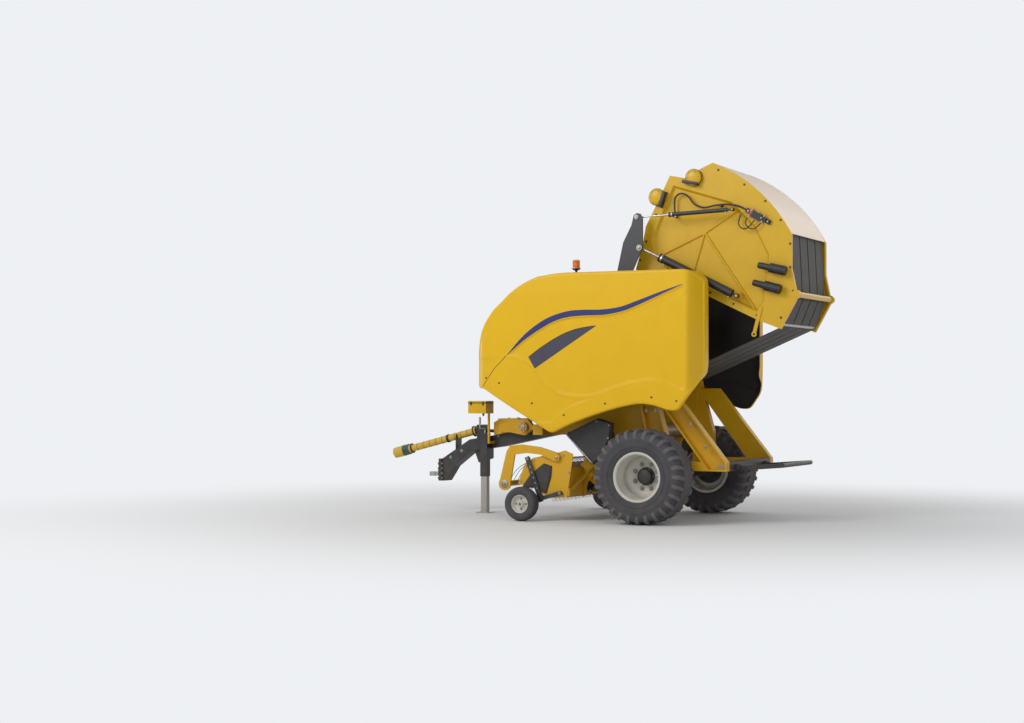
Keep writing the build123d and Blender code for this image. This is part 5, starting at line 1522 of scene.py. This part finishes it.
class BALER_OT_tailgate(bpy.types.Operator):
    """Adds the tailgate's domes, bolts, bottle caps and valve fittings"""

    bl_idname = "baler.tailgate"
    bl_label = "Tailgate"

    def execute(self, context):
        for side, sign in SIDES:
            parts = [made("tailgate_yellow", add_domes), made("plastic_black", add_dome_bands),
                     made("plastic_black", add_dome_flanges), made("dark_bolt", add_dome_screws),
                     made("dark_bolt", add_wall_bolts)]
            joined(f"tailgate_trim_{side}", on_side(parts, sign), "tailgate", 40)
        add_trim("tailgate_fittings", "tailgate", "steel", ("black", add_bottle_rings),
                 ("red", add_valve_bodies), ("white", add_slab, *PALE_PLATE), ("hose", add_pipes),
                 ("bolt", add_valve_fittings))
        return {"FINISHED"}


# Cylinders and levers

UPPER_PIN, LOWER_PIN, LEVER_PIVOT = (-0.186, 3.420), (-0.154, 3.074), (-0.34, 2.58)
# Each cylinder: name, pin on the closed tailgate, pin on the lever, barrel radius, barrel length
CYLINDERS = (("upper", (1.037, -0.590), UPPER_PIN, 0.023, 0.745),
             ("lower", (0.199, -1.043), LOWER_PIN, 0.046, 1.010))
CYLINDER_Y = 0.8
# How far the oil ports lie from each end of a barrel
PORT_FOOT, PORT_HEAD = 0.085, 0.075
# Pin heads on each lever: place, size across, metres out from the machine's middle
LEVER_BOLTS = ((UPPER_PIN, 0.026, 0.854), (LOWER_PIN, 0.034, 0.854), (LEVER_PIVOT, 0.04, 0.846))


def add_gland(work, foot, heading, radius, length):
    """A cylinder's gland at its head, and the oil ports near both ends."""
    add_lathe(work, [(length - 0.045, radius), (length - 0.045, radius + 0.0065),
                     (length - 0.03, radius + 0.0065), (length - 0.026, radius + 0.004),
                     (length + 0.002, radius + 0.003), (length + 0.004, radius - 0.004),
                     (length + 0.004, radius * 0.5)], foot, heading, 48)
    port = heading.cross(Vector((0, 1, 0))).normalized()
    stub = radius + 0.012
    for along in (PORT_FOOT, length - PORT_HEAD):
        base = foot + heading * along
        add_lathe(work, [(0, 0), (stub, 0), (stub, 0.008), (0, 0.008)], base, port, 6)
        add_lathe(work, collar(radius - 0.004, radius + 0.006, 0, 0.013), base, port, 20)


def add_lever_bolts(work, sign):
    """The heads of a lever's three pins."""
    for (x, z), across, out in LEVER_BOLTS:
        add_hexagon(work, across, 0.014, at(x, z, sign * out), (0, sign, 0))


class BALER_OT_cylinders(bpy.types.Operator):
    """Adds glands, oil ports and pin heads to the cylinders and levers"""

    bl_idname = "baler.cylinders"
    bl_label = "Cylinders"

    def execute(self, context):
        for name, tail, lever, radius, length in CYLINDERS:
            for side, sign in SIDES:
                foot, head = raised(*tail, sign * CYLINDER_Y), at(*lever, sign * CYLINDER_Y)
                add_trim(f"{name}_gland_{side}", f"{name}_barrel_body_{side}", "steel",
                         ("steel", add_gland, foot, (head - foot).normalized(), radius, length))
        for side, sign in SIDES:
            add_trim(f"lever_bolts_{side}", "chassis", "steel", ("bolt", add_lever_bolts, sign))
        return {"FINISHED"}


# Crossing belts

BELT_COUNT, BELT_PITCH = 4, 0.29
BELT_WIDTH, BELT_THICK, BELT_SAG = 0.26, 0.008, 0.006
BELT_ROWS, BELT_COLUMNS = 48, 8
# The lacing lies at this share of a belt, further along on every other one
LACING_SHARE, LACING_SHIFT = 0.31, 0.06
LACING_CLIPS = 22
LACING_CLIP = (0.044, 0.0065, 0.0035)


def add_belt(work, start, end, up, y):
    """One belt from the chamber to the tailgate, sagging a little between them."""
    rows = []
    for number in range(BELT_ROWS + 1):
        share = number / BELT_ROWS
        sag = -BELT_SAG * 4 * share * (1 - share)
        place = start.lerp(end, share) + up * (sag - BELT_THICK / 2)
        rows.append([place + Vector((0, y + BELT_WIDTH * (across / BELT_COLUMNS - 0.5), 0))
                     for across in range(BELT_COLUMNS + 1)])
    add_sheet(work, rows, BELT_THICK, up)


def add_lacing(work, start, end, up, y, share):
    """The row of steel clips that joins a belt's ends."""
    place = start.lerp(end, share) + up * (BELT_THICK / 2 - 0.003)
    heading = end - start
    turn = Matrix.Rotation(-atan2(heading.z, heading.x), 4, "Y")
    for number in range(LACING_CLIPS):
        across = y + BELT_WIDTH * ((number + 0.5) / LACING_CLIPS - 0.5)
        add_block(work, LACING_CLIP, Matrix.Translation(place + Vector((0, across, 0))) @ turn, 0.001)


class BALER_OT_belts(bpy.types.Operator):
    """Lays the belts that cross to the raised tailgate, with their lacing"""

    bl_idname = "baler.belts"
    bl_label = "Crossing belts"

    def execute(self, context):
        low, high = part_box("belts_crossing")
        start, end = Vector((low.x, 0, low.z + 0.005)), Vector((high.x, 0, high.z - 0.005))
        heading = (end - start).normalized()
        up = Vector((-heading.z, 0, heading.x))
        for index in range(BELT_COUNT):
            y = (index - (BELT_COUNT - 1) / 2) * BELT_PITCH
            share = LACING_SHARE + LACING_SHIFT * (index % 2)
            parts = [made("belt", add_belt, start, end, up, y),
                     made("bolt", add_lacing, start, end, up, y, share)]
            name = f"crossing_belt_{index + 1}"
            piece = link(merged(name, parts, 30), name)
            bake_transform(piece)
            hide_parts("belts_crossing")
        return {"FINISHED"}


# Pickup: metres behind the axle and height

REEL = (-1.2, 0.45)
REEL_HALF = 1.0995
REEL_SHAFT = 0.035
REEL_DISCS = (-1.055, 0.0, 1.055)
# The tine bars: how many, how far out, where the first one stands in degrees, half length and radius
BAR_COUNT, BAR_CIRCLE, BAR_START = 4, 0.15, 20
BAR_HALF, BAR_RADIUS = 1.07, 0.016
TINE_PITCH, TINE_COUNT = 0.105, 21
TINE_RADIUS = 0.0031
# A tine's coil: radius, points, and how far from its middle it begins and ends
COIL_RADIUS, COIL_POINTS = 0.0205, 29
COIL_BEGIN, COIL_WIDTH = 0.006, 0.0155
TINE_TIP, TINE_BEND, TINE_ASIDE = 0.252, 0.205, 0.0315
TINE_TRAIL = 0.018
WIRE_PATH = ((-1.70, 0.435), (-1.62, 0.555), (-1.50, 0.64), (-1.34, 0.682), (-1.16, 0.70))
WIRE_RADIUS = 0.004
GUARD_FACE = 1.15
# Knobs at the wind guard's ends: place, height, radius
GUARD_KNOBS = ((-1.69, 0.41, 0.045), (-1.04, 0.715, 0.022))
PICKUP_FACE = 1.108
PICKUP_BOLTS = ((-1.50, 0.44), (-1.43, 0.62), (-1.33, 0.68), (-0.97, 0.74), (-0.9, 0.55), (-0.97, 0.3),
                (-1.15, 0.29))
STRIPPER_COUNT = 20
STRIPPER_SCREWS = (-1.0, -0.965)


def bar_heading(bar):
    """The direction from the reel's shaft to one of its tine bars."""
    turn = radians(bar * 360 / BAR_COUNT + BAR_START)
    return Vector((cos(turn), 0, sin(turn)))


def add_tine(work, out):
    """A double tine on a bar: two coils and their legs, which come up at the front as the reel turns."""
    centre = at(*REEL)
    trail = Vector((-out.z, 0, out.x))
    root = centre + out * BAR_CIRCLE
    last = COIL_POINTS - 1
    for side in (-1, 1):
        coil = []
        for step in range(COIL_POINTS):
            angle = step * pi / 4
            aside = side * (COIL_BEGIN + COIL_WIDTH * step / last)
            coil.append(root + COIL_RADIUS * (out * cos(angle) + trail * sin(angle)) + Vector((0, aside, 0)))
        neck = root + out * 0.035 + Vector((0, side * 0.029, 0))
        bend = centre + out * TINE_BEND + Vector((0, side * TINE_ASIDE, 0))
        tip = centre + out * TINE_TIP + trail * TINE_TRAIL + Vector((0, side * TINE_ASIDE, 0))
        add_tube(work, coil + [neck, bend, tip], TINE_RADIUS, 6, 1)


def add_drum(work):
    """The reel's shaft, tine bars, discs and their hubs."""
    centre = at(*REEL)
    add_lathe(work, collar(-REEL_HALF, REEL_HALF, 0, REEL_SHAFT), centre, ACROSS, 40)
    for bar in range(BAR_COUNT):
        place = centre + bar_heading(bar) * BAR_CIRCLE
        add_lathe(work, collar(-BAR_HALF, BAR_HALF, 0, BAR_RADIUS), place, ACROSS, 24)
    for y in REEL_DISCS:
        add_lathe(work, collar(y - 0.004, y + 0.004, REEL_SHAFT, 0.16), centre, ACROSS, 56)
        add_lathe(work, collar(y - 0.02, y + 0.02, REEL_SHAFT, 0.055), centre, ACROSS, 40)


def add_guard_wire(work):
    """One bent wire of the wind guard."""
    add_tube(work, [at(x, z) for x, z in WIRE_PATH], WIRE_RADIUS, 8, 5)


def add_guard_knobs(work):
    """Round knobs with their bolts at both ends of the wind guard."""
    for sign in (-1, 1):
        for x, z, radius in GUARD_KNOBS:
            outward = (0, sign, 0)
            add_lathe(work, knob(radius, 0.006, radius * 0.75, 0.009), at(x, z, sign * GUARD_FACE), outward, 36)
            add_hexagon(work, 0.016, 0.01, at(x, z, sign * (GUARD_FACE + 0.009)), outward)


def add_pickup_bolts(work):
    """Bolts on the pickup's side plates."""
    for sign in (-1, 1):
        for x, z in PICKUP_BOLTS:
            add_hexagon(work, 0.014, 0.01, at(x, z, sign * PICKUP_FACE), (0, sign, 0))


def add_struts(work):
    """The struts that run in from the side plates, each with its foot."""
    for sign in (-1, 1):
        add_rod(work, at(-0.935, 0.315, sign * 1.085), at(-0.80, 0.60, sign * 0.64), 0.022, 20, 0.003)
        add_block(work, (0.05, 0.012, 0.09), Matrix.Translation(at(-0.925, 0.33, sign * 1.095)), 0.002)


def add_stripper_screws(work):
    """Two screws at the rear end of each stripper."""
    for number in range(STRIPPER_COUNT):
        y = (number - (STRIPPER_COUNT - 1) / 2) * TINE_PITCH
        for x in STRIPPER_SCREWS:
            add_lathe(work, [(0, 0), (0, 0.008), (0.003, 0.006), (0.004, 0)], at(x, 0.628, y), (0.1, 0, 1), 12)


class BALER_OT_pickup(bpy.types.Operator):
    """Builds the tined reel, the wind guard's wires and the pickup's bolts"""

    bl_idname = "baler.pickup"
    bl_label = "Pickup"

    def execute(self, context):
        steel = finish_of("steel")
        tines = [row_of(mesh_from(add_tine, bar_heading(bar)), TINE_COUNT, TINE_PITCH, steel)
                 for bar in range(BAR_COUNT)]
        reel = joined("tined_reel", tines + [made("black", add_drum)], "reel", 40)
        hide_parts("pickup_reel")
        wires = row_of(mesh_from(add_guard_wire), TINE_COUNT - 1, TINE_PITCH, steel)
        joined("wind_guard_wires", [wires], "wind_guard_body", 40)
        add_trim("wind_guard_trim", "wind_guard_body", "steel", ("bolt", add_guard_knobs))
        add_trim("pickup_bolts", "pickup", "steel", ("bolt", add_pickup_bolts))
        add_trim("pickup_struts", "pickup", "yellow", ("yellow_frame", add_struts))
        add_trim("band_screws", "pickup", "steel", ("bolt", add_stripper_screws))
        return {"FINISHED"}


# Gauge wheels

# Half of the tyre's section: its wall from the bead out, then the grooves of its tread
GAUGE_TYRE = [(0.060, 0.1052), (0.066, 0.115), (0.073, 0.135), (0.0748, 0.15), (0.073, 0.165),
              (0.067, 0.178), (0.058, 0.186), (0.046, 0.1895), (0.044, 0.1845), (0.036, 0.1845),
              (0.034, 0.1925), (0.018, 0.194), (0.016, 0.1885), (0.006, 0.1885), (0.004, 0.1948)]
GAUGE_RIM = [(0.052, 0.1047), (0.055, 0.1047), (0.058, 0.101), (0.056, 0.095), (0.02, 0.086), (0.013, 0.078),
             (0.013, 0.045), (0.03, 0.036), (0.052, 0.032), (0.054, 0.026), (0.054, 0.0126), (-0.050, 0.0126),
             (-0.050, 0.032), (-0.012, 0.038), (-0.012, 0.08), (-0.052, 0.092), (-0.052, 0.1047)]
GAUGE_NUTS = 4
GAUGE_NUT_CIRCLE = 0.06
ARM_FACE = 1.152
# Adjusting holes along each arm: how many, the first one's share of its length and the step to the next
ARM_HOLES, ARM_FIRST, ARM_STEP = 5, 0.2, 0.13
ARM_TOP, ARM_RUN = (-1.4, 0.7), (0.165, -0.46)
ARM_BOLTS = ((-1.4, 0.70), (-1.0, 0.32))


def add_gauge_tyre(work):
    """A ribbed gauge tyre about Z."""
    add_turned(work, GAUGE_TYRE + mirrored(GAUGE_TYRE), 72)


def add_gauge_rim(work):
    """A gauge wheel's dished rim about Z."""
    add_turned(work, GAUGE_RIM, 64)


def add_gauge_nut(work):
    """A nut on the gauge rim's disc."""
    add_hexagon(work, 0.014, 0.01, (0, 0, 0.013), UP)


def add_arm_trim(work, centre, sign):
    """The axle's nut, the plugs in the arm's adjusting holes and its bolts."""
    outward = (0, sign, 0)
    add_hexagon(work, 0.02, 0.014, centre + Vector((0, sign * 0.055, 0)), outward)
    for number in range(ARM_HOLES):
        share = ARM_FIRST + number * ARM_STEP
        x, z = ARM_TOP[0] + ARM_RUN[0] * share, ARM_TOP[1] + ARM_RUN[1] * share
        add_lathe(work, collar(0, 0.0015, 0, 0.009), at(x, z, sign * ARM_FACE), outward, 16)
    for x, z in ARM_BOLTS:
        add_hexagon(work, 0.018, 0.012, at(x, z, sign * ARM_FACE), outward)


class BALER_OT_gauge_wheels(bpy.types.Operator):
    """Builds the small ribbed gauge tyres and their dished rims"""

    bl_idname = "baler.gauge_wheels"
    bl_label = "Gauge wheels"

    def execute(self, context):
        for side, sign in SIDES:
            centre = middle(f"gauge_tyre_{side}")
            place = Matrix.Translation(centre) @ turned_to((0, sign, 0))
            tyre = joined(f"gauge_tread_{side}", [moved(made("tyre", add_gauge_tyre), place)],
                          f"gauge_wheel_{side}", 35)
            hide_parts(f"gauge_tyre_{side}")
            nuts = ring_of(mesh_from(add_gauge_nut), GAUGE_NUTS, GAUGE_NUT_CIRCLE, finish_of("bolt"))
            rim = joined(f"gauge_disc_{side}", [moved(made("rim", add_gauge_rim), place), moved(nuts, place)],
                         f"gauge_wheel_{side}", 35)
            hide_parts(f"gauge_rim_{side}")
            add_trim(f"gauge_arm_trim_{side}", "pickup", "steel", ("bolt", add_arm_trim, centre, sign))
        return {"FINISHED"}


# Drawbar and driveline

SHAFT_JOINT, SHAFT_END = at(-2.64, 0.985), at(-3.78, 0.697)
SHAFT_HEADING = (SHAFT_END - SHAFT_JOINT).normalized()
# Rings on the shaft's guard: distance from its joint, radius, width, inner radius
GUARD_RINGS = ((0.40, 0.05, 0.03, 0.0425), (0.925, 0.062, 0.014, 0.05), (0.03, 0.066, 0.012, 0.05))
GUARD_RIBS, GUARD_RIB_FIRST, GUARD_RIB_STEP = 9, 0.12, 0.09
GUARD_BAND = [(0.96, 0.06), (0.96, 0.0648), (1.04, 0.0668), (1.04, 0.06)]
# Bolts through the hitch plate, on its front and rear face
HITCH_FRONT, HITCH_REAR = -3.11, -3.07
HITCH_ROWS, HITCH_HEIGHTS = (-0.095, 0.095), (0.40, 0.46, 0.52, 0.58)
EYE_BOLTS = ((-3.13, 0.49, -0.06), (-3.13, 0.49, 0.06))
DRAWBAR_BOLTS = ((-2.95, 0.66), (-2.8, 0.74), (-2.3, 0.93), (-2.0, 0.98), (-1.6, 1.02))
DRAWBAR_FACE = -0.09
CRANK_FOOT = at(-2.44, 0.956, -0.165)
# The crank's arm from the jack's spindle out and up to its handle: metres across and up
CRANK_ARM = ((0, 0.045), (-0.03, 0.055), (-0.11, 0.058), (-0.135, 0.062), (-0.14, 0.12))
CRANK_HANDLE = (-0.14, 0.115, 0.2)
BOX_MIDDLE = -2.43
BOX_CATCHES = (-0.08, 0.08)
# Bolts on the gearbox's lid: place and height, on both sides
GEARBOX_BOLTS = ((-2.28, 1.128), (-2.14, 1.14), (-2.0, 1.14))
GEARBOX_HALF = 0.12
GEARBOX_CAP = (-1.89, 1.04, -0.26)
CAP_BOLTS = 6
CAP_BOLT_CIRCLE = 0.042


def along_shaft(distance):
    """A point on the drive shaft's axis, measured forward from its joint."""
    return SHAFT_JOINT + SHAFT_HEADING * distance


def add_guard_rings(work):
    """The black rings and the fine ribs of the shaft's guard."""
    for distance, radius, width, inner in GUARD_RINGS:
        add_lathe(work, collar(-width / 2, width / 2, inner, radius), along_shaft(distance), SHAFT_HEADING, 48)
    for number in range(GUARD_RIBS):
        place = along_shaft(GUARD_RIB_FIRST + number * GUARD_RIB_STEP)
        add_lathe(work, collar(-0.002, 0.002, 0.0428, 0.0452), place, SHAFT_HEADING, 40)


def add_guard_band(work):
    """The band round the guard's front bell."""
    add_lathe(work, GUARD_BAND, SHAFT_JOINT, SHAFT_HEADING, 56)


def add_drawbar_bolts(work):
    """Bolts through the hitch plate, round the eye and along the drawbar's left side."""
    for y in HITCH_ROWS:
        for z in HITCH_HEIGHTS:
            add_hexagon(work, 0.024, 0.016, at(HITCH_FRONT, z, y), FRONT)
            add_hexagon(work, 0.024, 0.016, at(HITCH_REAR, z, y), REAR)
    for bolt in EYE_BOLTS:
        add_hexagon(work, 0.022, 0.014, at(*bolt), FRONT)
    for x, z in DRAWBAR_BOLTS:
        add_hexagon(work, 0.02, 0.013, at(x, z, DRAWBAR_FACE), LEFT)


def add_crank(work):
    """The jack's crank: spindle, bent arm and handle."""
    add_rod(work, CRANK_FOOT, CRANK_FOOT + Vector((0, 0, 0.05)), 0.012, 16, 0.002)
    add_tube(work, [CRANK_FOOT + Vector((0, y, z)) for y, z in CRANK_ARM], 0.0075, 10, 5)
    y, low, high = CRANK_HANDLE
    add_rod(work, CRANK_FOOT + Vector((0, y, low)), CRANK_FOOT + Vector((0, y, high)), 0.0125, 16, 0.003)


def add_box_trim(work):
    """The control box's lid, its catches and the cable gland under it."""
    add_block(work, (0.246, 0.206, 0.012), Matrix.Translation(at(BOX_MIDDLE, 1.3265, -0.3)), 0.003)
    for aside in BOX_CATCHES:
        catch = Matrix.Translation(at(BOX_MIDDLE + aside, 1.32, -0.404))
        add_block(work, (0.022, 0.01, 0.04), catch, 0.002)
    add_lathe(work, fitting(0.016, 0.012, 0.011), at(BOX_MIDDLE + 0.05, 1.2, -0.33), DOWN, 20)


def add_gearbox_trim(work):
    """The bolts of the gearbox's lid, and the bolted cap on its left side."""
    for x, z in GEARBOX_BOLTS:
        for y in (-GEARBOX_HALF, GEARBOX_HALF):
            add_hexagon(work, 0.016, 0.011, at(x, z, y), UP)
    x, z, y = GEARBOX_CAP
    for step in range(CAP_BOLTS):
        turn = 2 * pi * step / CAP_BOLTS
        place = at(x + CAP_BOLT_CIRCLE * cos(turn), z + CAP_BOLT_CIRCLE * sin(turn), y)
        add_hexagon(work, 0.013, 0.009, place, LEFT)
    add_lathe(work, knob(0.03, 0.01, 0.018, 0.012), at(*GEARBOX_CAP), LEFT, 28)


class BALER_OT_driveline(bpy.types.Operator):
    """Adds the drive shaft's rings and band, the drawbar's bolts, the jack's crank and box details"""

    bl_idname = "baler.driveline"
    bl_label = "Drawbar and driveline"

    def execute(self, context):
        add_trim("shaft_guard_trim", "pto", "black", ("plastic_black", add_guard_rings),
                 ("teal", add_guard_band))
        add_trim("drawbar_bolts", "chassis", "steel", ("bolt", add_drawbar_bolts))
        add_trim("jack_crank", "chassis", "steel", ("steel", add_crank))
        add_trim("control_box_trim", "chassis", "plastic_black", ("plastic_black", add_box_trim))
        add_trim("gearbox_bolts", "chassis", "steel", ("bolt", add_gearbox_trim))
        return {"FINISHED"}


# Chassis trim

LENS_RADIUS, LENS_WAIST = 0.046, 0.0436
LENS_GROOVES, LENS_FIRST, LENS_STEP = 9, 0.008, 0.0092
LENS_CROWN = [(0.092, 0.0445), (0.099, 0.038), (0.104, 0.022), (0.105, 0)]
COVER_ROD = ((-0.975, 0.975), (-0.668, 0.662))
COVER_SCREWS = ((-0.98, 0.995), (-0.61, 1.125), (-0.46, 1.085), (-0.475, 0.94), (-0.585, 0.725),
                (-0.67, 0.665))
FRAME_FACE = 0.82
FRAME_BOLTS = ((-0.05, 0.62), (0.08, 0.62), (-0.05, 0.9), (0.1, 0.9), (-0.08, 1.25), (0.03, 1.25), (-0.2, 1.8),
               (-0.12, 1.8), (0.78, 0.64), (0.82, 0.64), (0.62, 0.85), (0.45, 1.1))
HINGE_FACE = 0.68
# The tailgate hinge's bolts and its pin's head: place, height, size across, head's height
HINGE_BOLTS = ((-0.05, 2.8, 0.018, 0.012), (-0.05, 2.70, 0.018, 0.012), (-0.05, 2.78, 0.036, 0.02))
ROOF_STRIPS = (-0.5, 0.0, 0.5)
ROOF_BOLTS = [(x, y) for y in (-0.78, -0.25, 0.25, 0.78) for x in (-1.05, -0.5)]


def add_lens(work):
    """The beacon's lens, with grooves all the way up."""
    low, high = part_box("beacon")
    profile = [(0, 0), (0, LENS_RADIUS)]
    for number in range(LENS_GROOVES):
        z = LENS_FIRST + number * LENS_STEP
        profile += [(z, LENS_RADIUS), (z + 0.002, LENS_WAIST), (z + 0.0072, LENS_WAIST)]
    foot = Vector(((low.x + high.x) / 2, (low.y + high.y) / 2, low.z))
    add_lathe(work, profile + LENS_CROWN, foot, UP, 56)


def add_cover_rod(work, face):
    """The rod along the drive cover's lower front edge."""
    start, end = [at(x, z, face - 0.006) for x, z in COVER_ROD]
    add_rod(work, start, end, 0.010, 16, 0.003)


def add_cover_screws(work, face):
    """Screws round the drive cover's edge."""
    for x, z in COVER_SCREWS:
        add_hexagon(work, 0.014, 0.009, at(x, z, face + 0.002), LEFT)


def add_frame_bolts(work):
    """Bolts on the side frames and at the tailgate's hinges."""
    for sign in (-1, 1):
        for x, z in FRAME_BOLTS:
            add_hexagon(work, 0.02, 0.013, at(x, z, sign * FRAME_FACE), (0, sign, 0))
        for x, z, across, height in HINGE_BOLTS:
            add_hexagon(work, across, height, at(x, z, sign * HINGE_FACE), (0, sign, 0))


def add_roof_trim(work):
    """Strips over the roof's seams and the bolts at its edges."""
    for y in ROOF_STRIPS:
        add_block(work, (0.62, 0.012, 0.004), Matrix.Translation(at(-0.77, 2.7665, y)), 0.001)
    for x, y in ROOF_BOLTS:
        add_hexagon(work, 0.014, 0.009, at(x, 2.765, y), UP)


class BALER_OT_chassis_trim(bpy.types.Operator):
    """Adds the beacon's lens, the drive cover's rod and screws, the frame's bolts and the roof's strips"""

    bl_idname = "baler.chassis_trim"
    bl_label = "Chassis trim"

    def execute(self, context):
        lamp = add_trim("beacon_lens", "chassis", "amber", ("amber", add_lens), angle=60)
        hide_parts("beacon")
        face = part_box("drive_cover")[0].y
        add_trim("drive_cover_trim", "chassis", "plastic_black", ("steel", add_cover_rod, face),
                 ("bolt", add_cover_screws, face))
        add_trim("frame_bolts", "chassis", "steel", ("bolt", add_frame_bolts))
        add_trim("roof_trim", "chassis", "yellow", ("yellow", add_roof_trim))
        return {"FINISHED"}


class BALER_PT_panel(bpy.types.Panel):
    """Sidebar panel with the baler's sizes, colours and steps"""

    bl_label = "Round baler"
    bl_idname = "BALER_PT_panel"
    bl_space_type = "VIEW_3D"
    bl_region_type = "UI"
    bl_category = "Baler"

    def draw(self, context):
        for group in (context.scene.baler_sizes, context.scene.baler_colours):
            for name in group.__annotations__:
                self.layout.prop(group, name)
        for operator in OPERATORS:
            self.layout.operator(operator.bl_idname)


OPERATORS = [BALER_OT_finishes, BALER_OT_road_wheels, BALER_OT_shields, BALER_OT_tailgate, BALER_OT_cylinders,
             BALER_OT_belts, BALER_OT_pickup, BALER_OT_gauge_wheels, BALER_OT_driveline, BALER_OT_chassis_trim,
             BALER_OT_stage]
CLASSES = [BalerColours, BalerSizes, *OPERATORS, BALER_PT_panel]


def register():
    """Adds the panel, the operators and the settings."""
    for cls in CLASSES:
        bpy.utils.register_class(cls)
    bpy.types.Scene.baler_colours = bpy.props.PointerProperty(type=BalerColours)
    bpy.types.Scene.baler_sizes = bpy.props.PointerProperty(type=BalerSizes)


def unregister():
    """Takes them away again."""
    del bpy.types.Scene.baler_sizes
    del bpy.types.Scene.baler_colours
    for cls in reversed(CLASSES):
        bpy.utils.unregister_class(cls)


def main():
    """Builds the dressed baler around the frame."""
    register()
    GROUPS.update(dust=dust_group(), grain=grain_group(), scuffs=scuff_group(), belt=belt_group())
    TREES.update(ring=ring_tree(), row=row_tree())
    bpy.ops.baler.finishes()
    bpy.ops.baler.road_wheels()
    bpy.ops.baler.shields()
    bpy.ops.baler.tailgate()
    bpy.ops.baler.cylinders()
    bpy.ops.baler.belts()
    bpy.ops.baler.pickup()
    bpy.ops.baler.gauge_wheels()
    bpy.ops.baler.driveline()
    bpy.ops.baler.chassis_trim()
    bpy.ops.baler.stage()
    bpy.context.view_layer.update()


if __name__ == "__main__":
    main()
